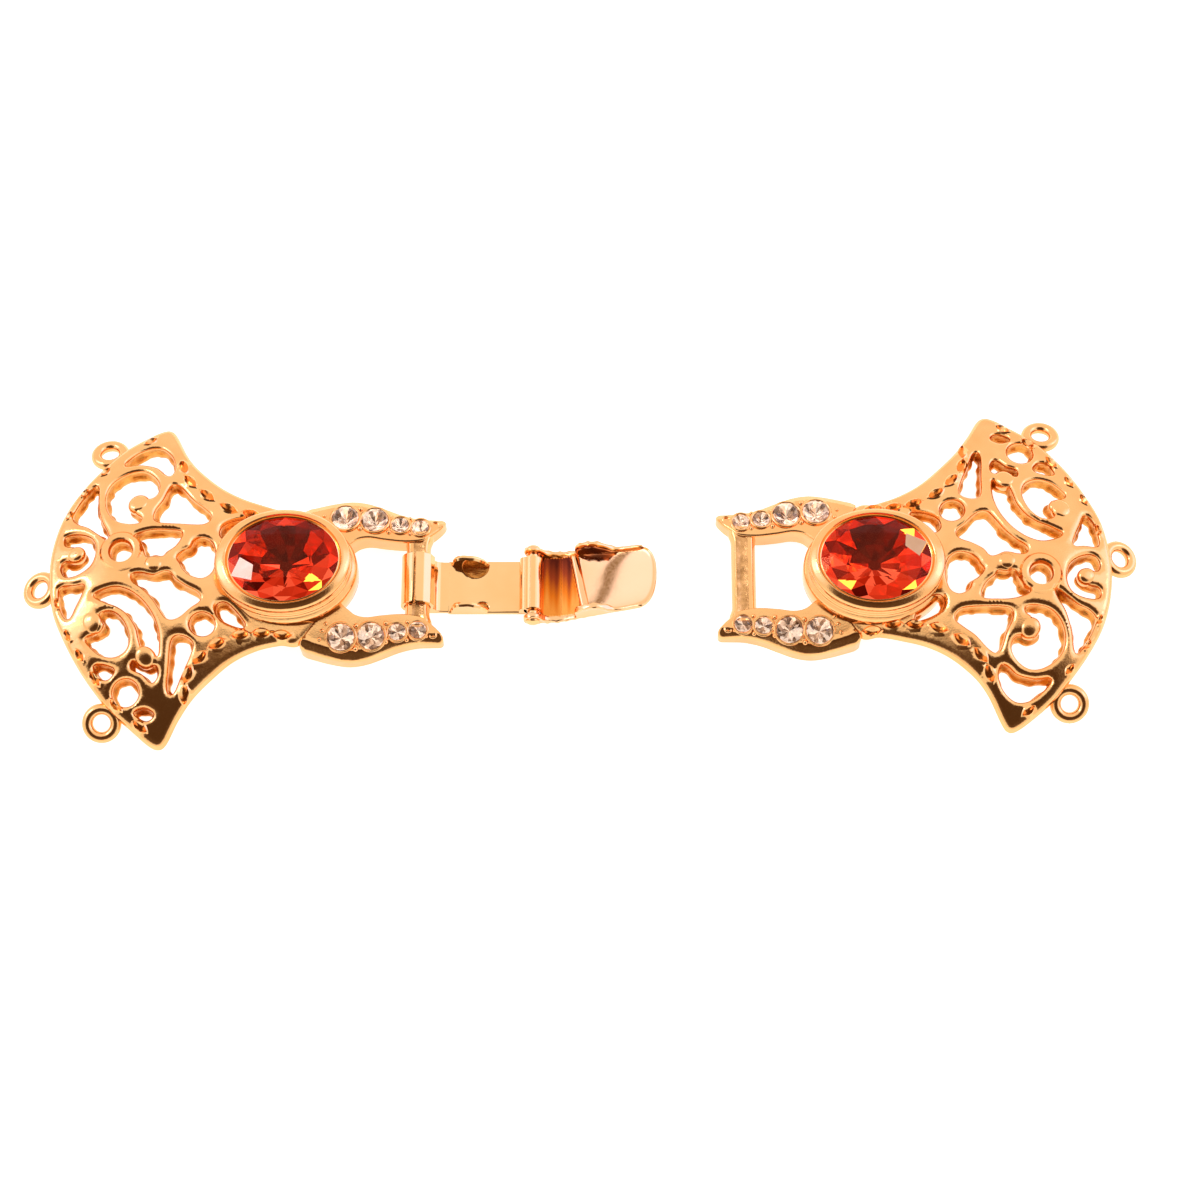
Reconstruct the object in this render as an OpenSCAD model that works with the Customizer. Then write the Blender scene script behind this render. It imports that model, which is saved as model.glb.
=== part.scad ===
// Three-strand fold-over clasp, opened: two alike pierced castings lie with their crossbars
// facing, and a folding latch is hinged on the bar of the left one.
// +X runs from the hook half to the catch half, +Z is up, the table is z = 0.

/* [Layout] */
// Distance between the middles of the two crossbars
bar_gap = 29.2; // [28.6:0.2:34]
// How far each half stands off the middle line
side_shift = 0.4; // [0:0.1:1]

/* [Casting] */
// Thickness of the pierced plate
plate_thick = 2; // [1.6:0.1:2.2]
// Radius of the dome across the plate
dome_radius = 34; // [32:1:38]
// Height of the dome's ridge above the table
crown_height = 5.4; // [5.2:0.1:5.6]
// Thickness of a strand loop's wire
loop_wire = 1; // [0.9:0.05:1.1]
// Hole through a strand loop
loop_hole = 1.8; // [1.7:0.05:1.9]
// Width of the crossbar
bar_width = 2.2; // [2.1:0.05:2.3]
// Height of the crossbar between its two flats
bar_height = 1.8; // [1.7:0.05:1.9]

/* [Oval stone] */
// Length of the oval stone
oval_length = 9.9; // [9.6:0.1:10]
// Width of the oval stone
oval_width = 8.1; // [7.9:0.1:8.2]
// Height of the bezel's rim above the table
rim_height = 6.2; // [6:0.1:6.4]

/* [Wing stones] */
// Diameter of a large round stone
large_stone = 2.4; // [2.2:0.05:2.45]
// Diameter of a small round stone
small_stone = 1.55; // [1.4:0.05:1.6]

/* [Latch] */
// Thickness of the latch's sheet
sheet = 0.4; // [0.35:0.05:0.4]
// Distance from the crossbar to the latch's hinge
leaf_length = 10.3; // [10.2:0.1:10.6]
// Width of the base leaf
leaf_width = 5; // [4.8:0.1:5.1]
// Outside diameter of the hinge tube
tube_width = 1.7; // [1.6:0.05:1.7]
// Length of the cover from its hinge to its tip
cover_length = 11.1; // [11.1:0.05:11.4]
// Width of the cover at the hinge
cover_width = 6.4; // [6.3:0.1:6.5]
// Width of the cover at the tip
cover_tip_width = 5.7; // [5.6:0.1:6]
// Angle that the open cover stands up from the table
open_tilt = 25; // [25:1:30]

/* [Hidden] */
$fn = 48;

gold = "goldenrod";
latch_gold = "gold";
red = "firebrick";
clear = "whitesmoke";

// Running clearance, overlap of stacked steps, and a length that passes right through
play = 0.05;
eps = 0.01;
reach = 12;

// The bar lies just above the table, so the knuckle rolled round it lifts the hook half's end
bar_z = bar_height / 2 + play;
bar_length = 9;
knuckle_wall = 0.35;
knuckle_r = bar_width / 2 + play + knuckle_wall;
// The latch's rolled ends stand a hair above its flat underside
roll_rise = 0.03;
// Distance from the bar of the corner that the hook half rests on
rest_x = 24.6;
lift = knuckle_r + roll_rise - bar_z;
hook_tilt = asin(lift / rest_x);

// Crest of the casting's top along its middle line: distance from the bar, height
crest = [
    [-4, 1.7], [0, 2.2], [7, 2.75], [10, 2.95], [12, 3.45], [15, 4.05], [18, 4.65],
    [20, 5.1], [22, crown_height - 0.1], [24.5, crown_height], [27, crown_height - 0.1],
    [29, crown_height - 0.35], [31, crown_height - 0.75], [33, crown_height - 1.3],
    [36, crown_height - 2.3]];

// The dome's shell reaches below the table under the wings, from this distance to the bar
wing_root = 8.5;
below_table = 1.5;

// The scroll pattern is drawn seen from the hook half's side, and sits a little off the middle
pattern_shift = 0.25;

// Closed outlines of the pattern: distance from the bar, height across the plate
fan_edge = [
    [10.1, 5.9], [12, 6.1], [14, 6.6], [16, 7.25], [18, 8.35], [20, 10.1], [21.2, 11.7],
    [22.3, 13.9], [22.9, 14.65], [23.7, 14.6], [25.2, 13.6], [27.1, 12], [29, 9.7],
    [30.4, 7.7], [31.5, 5.7], [32.2, 3.6], [32.6, 1], [32.5, -1.6], [32, -4.2],
    [31, -6.5], [29.6, -9], [28.2, -11], [26.6, -12.9], [24.9, -14.3], [23.3, -15.6],
    [22.4, -15.9], [21.7, -15.4], [20.7, -13.6], [19.4, -11.7], [17.8, -10], [16, -8.4],
    [14, -7.3], [12, -6.7], [10.1, -6.4], [8, -3], [8, 2.6]];
corner_gap = [
    [26.6, 10.5], [25.6, 11.7], [24.4, 12.3], [23.4, 12.2], [22.5, 11.3], [22.15, 10.1],
    [22.4, 9.3], [22.9, 9.5], [23.7, 10.2], [25.2, 10.55]];
scroll_gap = [
    [27.9, 6.8], [27.65, 8], [26.9, 8.9], [25.8, 9.5], [24.8, 9.55], [23.9, 9], [23.35, 8.1],
    [23.45, 7.15], [24, 6.75], [24.6, 7], [25.3, 7.05], [25.75, 6.5], [25.6, 5.7],
    [25.1, 5], [24.6, 4.6], [24.8, 4.2], [25.7, 4.15], [26.8, 4.5], [27.6, 5.5]];
stone_side_gap = [
    [21.9, 8.15], [21.2, 7.7], [20.2, 6.55], [19.2, 5.75], [18.5, 5], [19.1, 4.25],
    [21.2, 4.2], [23.1, 4.35], [23.3, 5.2], [22.7, 6.4], [22.3, 7.6]];
rim_side_gap = [
    [28.95, 8.1], [29.7, 7.3], [30.4, 6.1], [30.75, 5], [30.2, 4.35], [29.3, 3.95],
    [28.3, 3.2], [27.45, 2.6], [27.6, 3.3], [28.25, 4.5], [28.7, 6.2]];
wedge_gap = [
    [24.9, 2.85], [23.6, 3.3], [22.2, 3.35], [20.9, 3.15], [21.3, 2], [22.1, 1.3],
    [22.4, 0.9], [23, 1.0], [23.7, 0.85], [24, 1.6], [24.4, 2.4]];
tongue_gap = [
    [31.2, 3.05], [30, 3.1], [28.9, 2.6], [28.5, 1.5], [28.8, 0.2], [29.8, -0.6],
    [30.9, -0.8], [31.4, -0.1], [31.2, 0.55], [30.6, 0.45], [29.9, 0.5], [29.5, 1.15],
    [29.9, 1.8], [30.5, 2.1], [31.2, 2.25]];
flower_gap = [
    [21, 0.7], [20.5, 1.3], [19.9, 1.7], [19.6, 2.4], [18.9, 2.7], [18.2, 2.3],
    [17.9, 1.3], [17.9, 0.2], [18.2, -0.6], [18.9, -1.05], [19.8, -0.85], [20.4, -0.35],
    [20.7, 0.2]];
long_band_gap = [
    [24.9, -0.95], [24.2, -0.85], [23.6, -1.0], [22.9, -1.05], [22.2, -0.75], [21.7, -0.75],
    [21.2, -1.4], [20.2, -2.05], [19.2, -2.55], [19, -3.2], [19.8, -3.9], [20.5, -4.6],
    [21.1, -4.95], [21.7, -4.9], [22.3, -4.1], [23, -3.1], [23.9, -2.2], [24.8, -1.55]];
loop_side_gap = [
    [31.4, -1.9], [30.2, -1.85], [29.3, -1.8], [29.5, -2.6], [30, -3.7], [30.5, -4.7],
    [31.05, -4.2], [31.4, -3]];
crescent_gap = [
    [28.2, -2.8], [27.3, -2.3], [26.2, -2.15], [25, -2.6], [23.9, -3.5], [23, -4.8],
    [22.5, -6.2], [22.4, -7.5], [22.5, -8.3], [22.9, -7.85], [23.7, -7.6], [24, -6.9],
    [24.3, -5.8], [25, -4.7], [26, -3.9], [27.2, -3.4]];
bead_gap = [
    [24.6, -8.8], [24.6, -9.4], [23.7, -9.8], [22.9, -10.5], [22.45, -9.9], [22.6, -9.2],
    [23.3, -9.3], [24.1, -9]];
spiral_gap = [
    [27.6, -4.6], [26.9, -4.35], [26.1, -4.7], [25.4, -5.6], [25.05, -6.8], [25.35, -7.8],
    [26.3, -8.3], [27.4, -8.1], [28.3, -7.4], [28.8, -6.7], [28.2, -6.4], [27.5, -6.2],
    [27.15, -5.5]];
little_gap = [[28, -9.1], [27.1, -9.1], [26.3, -9.5], [26.8, -10.2], [27.5, -10]];
leaf_gap = [[24.4, -13.1], [23.6, -12.75], [22.8, -13.2], [23.4, -13.65]];
narrow_gap = [
    [21.15, -6.9], [20.4, -6.55], [19.5, -7.1], [19.75, -8.3], [20.4, -9.8], [20.9, -11.1],
    [21.3, -11.5], [21.5, -10.8], [21.35, -9]];
bezel_gap_far = [[17.4, 3.1], [17.3, 4], [16.4, 4.6], [15.2, 4.9], [15.2, 4.4], [16.6, 2.9]];
bezel_gap_near = [[17.4, -3.6], [17.3, -4.5], [16.4, -5.1], [15.2, -5.4], [15.2, -4.9], [16.6, -3.4]];
gaps = [
    corner_gap, scroll_gap, stone_side_gap, rim_side_gap, wedge_gap, tongue_gap, flower_gap,
    long_band_gap, loop_side_gap, crescent_gap, bead_gap, spiral_gap, little_gap, leaf_gap,
    narrow_gap, bezel_gap_far, bezel_gap_near];

// Round gaps: place in the pattern, radius
round_gaps = [[26.05, 1.2, 0.95], [25.2, -11.4, 1.15], [18.65, -5.35, 1.05]];
// Raised balls on the ends of the scrolls: place in the pattern, radius; and how deep they sit
ball_sink = 0.55;
balls = [[24.9, 6.1, 0.85], [30.1, 1.2, 0.6], [23.1, 0, 0.75], [23.5, -8.5, 0.6], [28.6, -5.3, 0.8]];
// Raised eyelet round the first round gap
eyelet_r = 1.6;
eyelet_rise = 0.3;

// Leaf-shaped dents along the two side bands and the rim: place in the pattern, turn
dents = [
    [21.25, 10.1, 70], [20.5, 8.5, 48], [18.9, 7.15, 38], [16.95, 6.1, 25], [14.9, 5.75, 5],
    [12.8, 5.65, 0], [20, -11.6, 95], [19.75, -9.95, -70], [18.75, -8.45, -45],
    [17.2, -7.3, -30], [15.2, -6.6, -12], [13.3, -6.2, -5], [31.2, 5.2, -68],
    [30, 7.5, -55], [28.3, 9.7, -50], [24.6, 13.2, -35], [31.6, -3.4, 70], [30.5, -6.4, 65],
    [29.3, -8.2, 58], [27.9, -10.3, 52], [26, -12.5, 45], [23.9, -14.3, 35]];
dent_length = 1.5;
dent_width = 0.65;
dent_depth = 0.4;

// Strand loops: place in the pattern, height of the middle, lean across and along the plate.
// Each hole is drilled this far into the round wire.
loop_bite = 0.15;
loops = [[28.4, 12.2, 1.75, 21, 0], [33.6, -1.3, 2.35, 0, 20], [27.4, -13.7, 1.75, -21, 0]];

// Outline of one wing: distance from the bar, height across the plate
wing_edge = [
    [10.2, 6.05], [9, 6.9], [7.6, 7.5], [6, 7.75], [4.5, 7.55], [3, 7.0], [1.5, 6.4], [0, 6.05],
    [-1.3, 6], [-2.2, 5.95], [-2.4, 5.5], [-2, 4.9], [-1.2, 4.2], [-0.4, 3.65], [1.2, 3.45],
    [3, 3.6], [4.4, 3.8], [5.4, 3.6], [6.2, 3], [7.5, 2.2], [9.5, 4]];
// Stones of one wing: distance from the bar, height across the plate, diameter
wing_stones = [
    [6.6, 5.75, large_stone], [3.95, 5.6, large_stone],
    [1.65, 5.15, small_stone], [-0.15, 4.95, small_stone]];

// Seats of the round stones: wall round the stone, rise over the dome, root and seat depths
collar_wall = 0.275;
collar_rise = 0.12;
collar_root = 0.6;
seat_share = 0.5;
// Bead hole near each wing's tip
bead_place = [-1.5, 5.3];
bead_size = 0.8;

// Oval stone in its bezel cup: place, heights, and the stacked steps of the rim
oval_x = 11.75;
oval_girdle_z = rim_height - 0.35;
oval_depth = 3.4;
cup_floor_z = 1.8;
cup_bottom_z = 1.1;
cup_ledge = 0.35;
girdle_ledge = 0.55;
skirt_z = 5;
skirt_flare = 0.5;
skirt_shift = 0.15;
neck_height = 0.4;
neck_dip = 0.1;
rim_fillet = 0.2;
rim_wall = 0.8;

// Shares of a round stone's diameter: girdle, table, crown, pavilion, culet, height in the seat
girdle_share = 0.04;
table_share = 0.56;
crown_share = 0.14;
pavilion_share = 0.42;
culet_share = 0.06;
stand_share = 0.02;

// A smooth closed curve through the knots, with steps points for each of them
function smooth(knots, steps = 3) =
    let (n = len(knots))
    [for (i = [0:n - 1], s = [0:steps - 1])
        let (a = knots[(i + n - 1) % n], b = knots[i], c = knots[(i + 1) % n],
             d = knots[(i + 2) % n], t = s / steps)
        0.5 * (2 * b + (c - a) * t + (2 * a - 5 * b + 4 * c - d) * t * t
            + (3 * b - a - 3 * c + d) * t * t * t)];

// From the pattern's drawing to the casting's own frame
function placed(points) = [for (p = points) [p[0], -p[1] - pattern_shift]];

// Height of the casting's top over a point
function top_z(x, y) = lookup(x, crest) - dome_radius + sqrt(dome_radius * dome_radius - y * y);

// How far the top leans sideways at a distance y from the middle line
function lean(y) = -asin(y / dome_radius);

function oval(length, width, n = 48) =
    [for (i = [0:n - 1]) [length / 2 * cos(i * 360 / n), width / 2 * sin(i * 360 / n)]];

// Counts of points before each outline, for a polygon with many holes
function starts(lists, i = 0, total = 0) =
    i == len(lists) ? [] : concat([total], starts(lists, i + 1, total + len(lists[i])));

module pierced_fan() {
    outlines = [for (g = concat([fan_edge], gaps)) smooth(placed(g))];
    first = starts(outlines);
    linear_extrude(height = reach)
        polygon(
            points = [for (o = outlines) for (p = o) p],
            paths = [for (i = [0:len(outlines) - 1]) [for (j = [0:len(outlines[i]) - 1]) first[i] + j]]);
}

module wing(side) {
    linear_extrude(height = reach)
        polygon([for (p = smooth(wing_edge)) [p[0], side * p[1]]]);
}

// The dome: the crest turned about an axis far below, along the plate
module dome_shell() {
    under = [for (p = crest) if (p[0] > wing_root) [p[0], p[1] - plate_thick]];
    axis_drop = dome_radius - crown_height;
    bottom = axis_drop - below_table;
    profile = concat(
        [for (p = crest) [p[1] + axis_drop, p[0]]],
        [for (i = [len(under) - 1:-1:0]) [under[i][1] + axis_drop, under[i][0]]],
        [[bottom, wing_root], [bottom, crest[0][0]]]);
    sweep = 70;
    translate([0, 0, -axis_drop])
        rotate([0, 90, 0])
            rotate([0, 0, 180 - sweep / 2])
                rotate_extrude(angle = sweep, $fn = 96) polygon(profile);
}

module bar() {
    translate([0, 0, bar_z])
        intersection() {
            rotate([90, 0, 0]) cylinder(d = bar_width, h = bar_length, center = true);
            cube([reach, bar_length, bar_height], center = true);
        }
}

module strand_loop(spec) {
    p = placed([spec])[0];
    ring_r = (loop_hole + loop_wire) / 2 - loop_bite;
    translate([p[0], p[1], spec[2]])
        rotate([spec[3], spec[4], 0])
            rotate_extrude() translate([ring_r, 0]) circle(d = loop_wire, $fn = 32);
}

module loop_bore(spec) {
    p = placed([spec])[0];
    translate([p[0], p[1], spec[2]])
        rotate([spec[3], spec[4], 0]) cylinder(d = loop_hole, h = 5, center = true);
}

module oval_step(length, width, z0, z1, grow = 0) {
    translate([oval_x, 0, z0])
        linear_extrude(height = z1 - z0) polygon(oval(length + grow, width + grow));
}

module bezel() {
    rim_length = oval_length + 2 * rim_wall;
    rim_width = oval_width + 2 * rim_wall;
    neck_z = skirt_z + neck_height;
    fillet_z = rim_height - rim_fillet;
    translate([-skirt_shift, 0, 0])
        oval_step(rim_length, rim_width, cup_bottom_z, skirt_z, 2 * skirt_flare);
    oval_step(rim_length, rim_width, skirt_z - eps, neck_z + eps, -2 * neck_dip);
    oval_step(rim_length, rim_width, neck_z, fillet_z + eps);
    oval_step(rim_length, rim_width, fillet_z, rim_height, -rim_fillet);
}

module bezel_cup() {
    oval_step(oval_length, oval_width, oval_girdle_z - girdle_ledge, reach, 2 * play);
    oval_step(oval_length, oval_width, cup_floor_z, oval_girdle_z, -2 * cup_ledge);
}

// A frame on the casting's top at a stone, leaning with the dome
module at_stone(spec, side) {
    y = side * spec[1];
    translate([spec[0], y, top_z(spec[0], y)]) rotate([lean(y), 0, 0]) children();
}

module stone_collar(spec, side) {
    at_stone(spec, side)
        translate([0, 0, -collar_root])
            cylinder(d = spec[2] + 2 * collar_wall, h = collar_root + collar_rise);
}

module stone_seat(spec, side) {
    depth = seat_share * spec[2];
    at_stone(spec, side) translate([0, 0, -depth]) cylinder(d = spec[2] + 2 * play, h = depth + 1);
}

module bead_dent(side) {
    x = bead_place[0];
    y = side * bead_place[1];
    translate([x, y, top_z(x, y) - dent_depth]) cylinder(d = bead_size, h = 1, $fn = 24);
}

module leaf_dent(spec) {
    p = placed([spec])[0];
    r = (dent_length * dent_length + dent_width * dent_width) / (4 * dent_width);
    translate([p[0], p[1], top_z(p[0], p[1]) - dent_depth])
        rotate([0, 0, -spec[2]])
            linear_extrude(height = 1)
                intersection() {
                    translate([0, r - dent_width / 2]) circle(r, $fn = 64);
                    translate([0, dent_width / 2 - r]) circle(r, $fn = 64);
                }
}

module ball(spec) {
    p = placed([spec])[0];
    sink = ball_sink * spec[2];
    translate([p[0], p[1], top_z(p[0], p[1]) - sink]) sphere(spec[2], $fn = 32);
}

module eyelet() {
    p = placed([round_gaps[0]])[0];
    z = top_z(p[0], p[1]);
    translate([p[0], p[1], z - 1]) cylinder(r = eyelet_r, h = 1 + eyelet_rise);
}

// One casting, bar on x = 0, strand loops at large x
module casting() {
    color(gold)
        difference() {
            union() {
                intersection() {
                    union() {
                        pierced_fan();
                        wing(1);
                        wing(-1);
                    }
                    dome_shell();
                }
                bezel();
                bar();
                eyelet();
                for (b = balls) ball(b);
                for (l = loops) strand_loop(l);
                for (s = wing_stones, side = [-1, 1]) stone_collar(s, side);
            }
            bezel_cup();
            for (g = round_gaps)
                translate([g[0], -g[1] - pattern_shift, 0]) cylinder(r = g[2], h = reach);
            for (l = loops) loop_bore(l);
            for (s = wing_stones, side = [-1, 1]) stone_seat(s, side);
            for (side = [-1, 1]) bead_dent(side);
            for (d = dents) leaf_dent(d);
        }
}

// Cut oval stone: table, crown, girdle, pavilion and culet facets from scaled rings
module oval_stone() {
    n = 16;
    // Share of the girdle's size, height from the girdle
    rings = [[0.56, 0.85], [0.8, 0.55], [1, 0.1], [1, -0.1], [0.66, -1.7], [0.12, -oval_depth]];
    turn = 180 / n;
    points = [
        for (r = rings, i = [0:n - 1])
            [r[0] * oval_length / 2 * cos(i * 360 / n + turn),
             r[0] * oval_width / 2 * sin(i * 360 / n + turn), r[1]]];
    sides = [
        for (k = [0:len(rings) - 2], i = [0:n - 1])
            [k * n + i, k * n + (i + 1) % n, (k + 1) * n + (i + 1) % n, (k + 1) * n + i]];
    caps = [[for (i = [n - 1:-1:0]) i], [for (i = [0:n - 1]) (len(rings) - 1) * n + i]];
    color(red)
        translate([oval_x, 0, oval_girdle_z]) polyhedron(points = points, faces = concat(sides, caps));
}

// Cut round stone with eight facets to the crown and eight to the pavilion
module round_stone(spec, side) {
    d = spec[2];
    color(clear)
        at_stone(spec, side)
            translate([0, 0, stand_share * d]) {
                translate([0, 0, girdle_share * d])
                    cylinder(d1 = d, d2 = table_share * d, h = crown_share * d, $fn = 8);
                cylinder(d = d, h = girdle_share * d, $fn = 8);
                translate([0, 0, -pavilion_share * d])
                    cylinder(d1 = culet_share * d, d2 = d, h = pavilion_share * d, $fn = 8);
            }
}

// The hook half's end is lifted by the knuckle, and turned to face the catch half
module in_hook_half() {
    translate([-bar_gap / 2, -side_shift, 0])
        rotate([0, 0, 180])
            translate([rest_x, 0, 0])
                rotate([0, hook_tilt, 0]) translate([-rest_x, 0, 0]) children();
}

module in_catch_half() {
    translate([bar_gap / 2, side_shift, 0]) children();
}

// Latch frame: the middle of the hook half's crossbar is over the origin
hook_bar_x = rest_x - rest_x * cos(hook_tilt) + bar_z * sin(hook_tilt);
hook_bar_z = rest_x * sin(hook_tilt) + bar_z * cos(hook_tilt);

module in_latch() {
    translate([-bar_gap / 2 - hook_bar_x, -side_shift, 0]) children();
}

knuckle_length = 4.8;
tube_length = 4.6;
tube_bore = 1;
hinge_z = tube_width / 2 + roll_rise;
ear_x = 4.6;
ear_r = 1.5;
ear_y = leaf_width / 2 - sheet;
// Half-moon holes that the ears are bent from: radius, and how far they lie from the ears' middles
moon_r = 1.2;
moon_shift = 0.5;
// Seam along the top of the knuckle: place and width
seam_x = -0.3;
seam_width = 0.15;
// Side of the fold where the strip comes off the knuckle: distance from the bar, height
fold_side = [[0, 0], [2.7, 0], [2.7, 0.65], [2, 0.85], [1.55, 1.1], [1.45, hook_bar_z], [0, hook_bar_z]];

module along_y(x, z, length, d) {
    translate([x, 0, z]) rotate([90, 0, 0]) cylinder(d = d, h = length, center = true);
}

// Half disc that stands up from the leaf
module ear(side) {
    translate([ear_x, side * (ear_y + sheet / 2), 0])
        intersection() {
            along_y(0, sheet, sheet, 2 * ear_r);
            translate([0, 0, reach / 2]) cube(reach, center = true);
        }
}

module side_view(points, width = reach) {
    rotate([90, 0, 0]) linear_extrude(height = width, center = true) polygon(points);
}

// Flat leaf of the latch: a knuckle round the bar, two ears and the hinge tube in one sheet
module base_leaf() {
    color(latch_gold)
        in_latch() difference() {
            union() {
                along_y(0, hook_bar_z, knuckle_length, 2 * knuckle_r);
                translate([0, -leaf_width / 2, 0]) cube([leaf_length, leaf_width, sheet]);
                along_y(leaf_length, hinge_z, tube_length, tube_width);
                for (side = [-1, 1]) ear(side);
                side_view(fold_side, knuckle_length);
            }
            along_y(0, hook_bar_z, reach, bar_width + 2 * play);
            along_y(leaf_length, hinge_z, reach, tube_bore);
            translate([seam_x, -reach / 2, hook_bar_z]) cube([seam_width, reach, reach]);
            for (side = [-1, 1])
                translate([ear_x + moon_shift, side * ear_y, 0])
                    intersection() {
                        cylinder(r = moon_r, h = 2 * sheet + 2 * eps, center = true);
                        translate([0, -side * reach / 2, 0]) cube(reach, center = true);
                    }
        }
}

// Cover: radius of the lobes round the pin, thickness of its wall, radius of the tip's corners,
// how low the lip reaches, and the pin's running clearance
pin_play = 0.03;
lobe_r = hinge_z - pin_play;
roof = 0.35;
tip_r = 1.2;
lip_z = 2.15;

// Closed cover seen from the side: distance from the hinge, height over the hinge's axis
roof_line = [[1, 1.4], [2, 1.85], [3.9, 1.95], [7.4, 2.4], [8.4, 2.62], [9.8, 2.7], [10.5, 2.62]];
wall_foot = [
    [9.85, lip_z], [9.7, 1.8], [8, 1.8], [7.1, 0.75], [6.5, 0.1], [5.6, -0.15], [4.6, 0], [3.9, 0.5],
    [3.7, 1.5], [1.3, 1.3], [0.83, 0.6]];
cheek = [[0, -0.1], [0, lobe_r], [1, 1.4], [1.3, 1.3], [0.83, 0]];
// Round rib inside the roof, behind the seat of the other half's bar, and what is left of it
rib_place = [3.9, 1.85];
rib_r = 0.45;
rib_side = [[3.25, 1.2], [4.55, 1.2], [4.55, 1.9], [3.25, 1.8]];

// Plan of the cover, tapering to a rounded tip
module cover_plan(inset) {
    w0 = cover_width / 2 - inset;
    w1 = cover_tip_width / 2 - inset - tip_r;
    tip_x = cover_length - inset - tip_r;
    corner = [for (a = [0:15:90]) [tip_x + tip_r * sin(a), w1 + tip_r * cos(a)]];
    half = concat([[-tube_width, w0], [0, w0]], corner);
    linear_extrude(height = reach, center = true)
        polygon(concat(half, [for (i = [len(half) - 1:-1:0]) [half[i][0], -half[i][1]]]));
}

// Cover as it lies when closed, mirrored to run along +x from its hinge axis
module closed_cover() {
    inner_line = [for (p = roof_line) [p[0], p[1] - roof]];
    tip = [[cover_length, 2.35], [cover_length, lip_z]];
    hollow_back = [[-tube_width, -tube_width], [-tube_width, 1.2], [0.9, 1.2]];
    hollow_tip = [[cover_length - roof, 1.9], [cover_length - roof, -tube_width]];
    difference() {
        intersection() {
            union() {
                side_view(concat(roof_line, tip, wall_foot));
                along_y(0, 0, reach, 2 * lobe_r);
                side_view(cheek);
            }
            cover_plan(0);
        }
        intersection() {
            side_view(concat(hollow_back, inner_line, hollow_tip));
            cover_plan(roof);
        }
        along_y(0, 0, reach, tube_bore);
    }
    intersection() {
        along_y(rib_place[0], rib_place[1], reach, 2 * rib_r);
        side_view(rib_side);
        cover_plan(roof - play);
    }
}

module at_cover_hinge() {
    in_latch()
        translate([leaf_length, 0, hinge_z])
            rotate([0, -open_tilt, 0]) rotate([180, 0, 0]) children();
}

module cover_leaf() {
    color(latch_gold) at_cover_hinge() closed_cover();
}

module hinge_pin() {
    color(latch_gold)
        in_latch() along_y(leaf_length, hinge_z, cover_width - 2 * play, tube_bore - 2 * pin_play);
}

module wing_stone(i) {
    round_stone(wing_stones[(i - 1) % 4], i > 4 ? 1 : -1);
}

in_hook_half() casting();  // hook_plate
in_catch_half() casting();  // catch_plate
in_hook_half() oval_stone();  // hook_oval_stone
in_catch_half() oval_stone();  // catch_oval_stone
for (i = [1:8])
    in_hook_half() wing_stone(i);
for (i = [1:8])
    in_catch_half() wing_stone(i);
base_leaf();
cover_leaf();
hinge_pin();
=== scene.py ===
import math

import bmesh
import bpy
import numpy as np
from mathutils import Matrix, Vector
from mathutils.geometry import delaunay_2d_cdt


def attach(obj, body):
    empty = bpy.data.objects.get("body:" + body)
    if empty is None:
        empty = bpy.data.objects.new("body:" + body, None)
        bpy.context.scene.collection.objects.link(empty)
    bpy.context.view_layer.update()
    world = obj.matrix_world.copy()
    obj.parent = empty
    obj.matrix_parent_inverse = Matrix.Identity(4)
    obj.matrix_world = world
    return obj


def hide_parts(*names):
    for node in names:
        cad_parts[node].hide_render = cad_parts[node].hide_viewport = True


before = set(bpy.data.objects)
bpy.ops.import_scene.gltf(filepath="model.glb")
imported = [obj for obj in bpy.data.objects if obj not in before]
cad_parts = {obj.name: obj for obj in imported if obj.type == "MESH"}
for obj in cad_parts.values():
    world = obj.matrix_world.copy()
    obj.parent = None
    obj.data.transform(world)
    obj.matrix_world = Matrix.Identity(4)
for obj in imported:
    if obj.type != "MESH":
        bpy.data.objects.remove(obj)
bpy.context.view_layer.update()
mm = 0.001  # every shape below is in millimetres until it becomes a mesh
print("frame loaded:", len(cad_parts), "nodes")

# The two halves: distance from the middle to each crossbar, how far each stands off the middle line, the
# point that the hook half rests on, and how far its bar is lifted by the knuckle
halves = {"barX": 14.6, "sideShift": 0.4, "restX": 24.6, "lift": 0.58}
halves["tilt"] = math.asin(halves["lift"] / halves["restX"])
# The latch stands on the hook half's bar: where the bar is, and where the cover's hinge is from there
latchPlace = {"x": -14.629, "y": -0.4, "barZ": 1.53, "hingeX": 10.3, "hingeZ": 0.88,
              "coverTilt": math.radians(25)}


def toCatch(v):
    # casting moved along x and y to the catch half
    return v + np.array([halves["barX"], halves["sideShift"], 0])


def toHook(v):
    # casting tilted about the point it rests on, turned by half a turn, and moved to the hook half
    c, s = math.cos(halves["tilt"]), math.sin(halves["tilt"])
    x = (v[:, 0] - halves["restX"]) * c + v[:, 2] * s + halves["restX"]
    z = v[:, 2] * c - (v[:, 0] - halves["restX"]) * s
    return np.stack([-x - halves["barX"], -v[:, 1] - halves["sideShift"], z], axis=1)


def toLatch(v):
    # latch drawn from the middle of the bar, moved to the hook half's bar
    return v + np.array([latchPlace["x"], latchPlace["y"], 0])


def toCover(v):
    # cover drawn closed, turned over about its hinge, opened by its tilt and moved to the hinge
    c, s = math.cos(latchPlace["coverTilt"]), math.sin(latchPlace["coverTilt"])
    x, y, z = v[:, 0], -v[:, 1], -v[:, 2]
    turned = np.stack([x * c - z * s, y, x * s + z * c], axis=1)
    return toLatch(turned + np.array([latchPlace["hingeX"], 0, latchPlace["hingeZ"]]))


# Lines and plans

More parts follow.
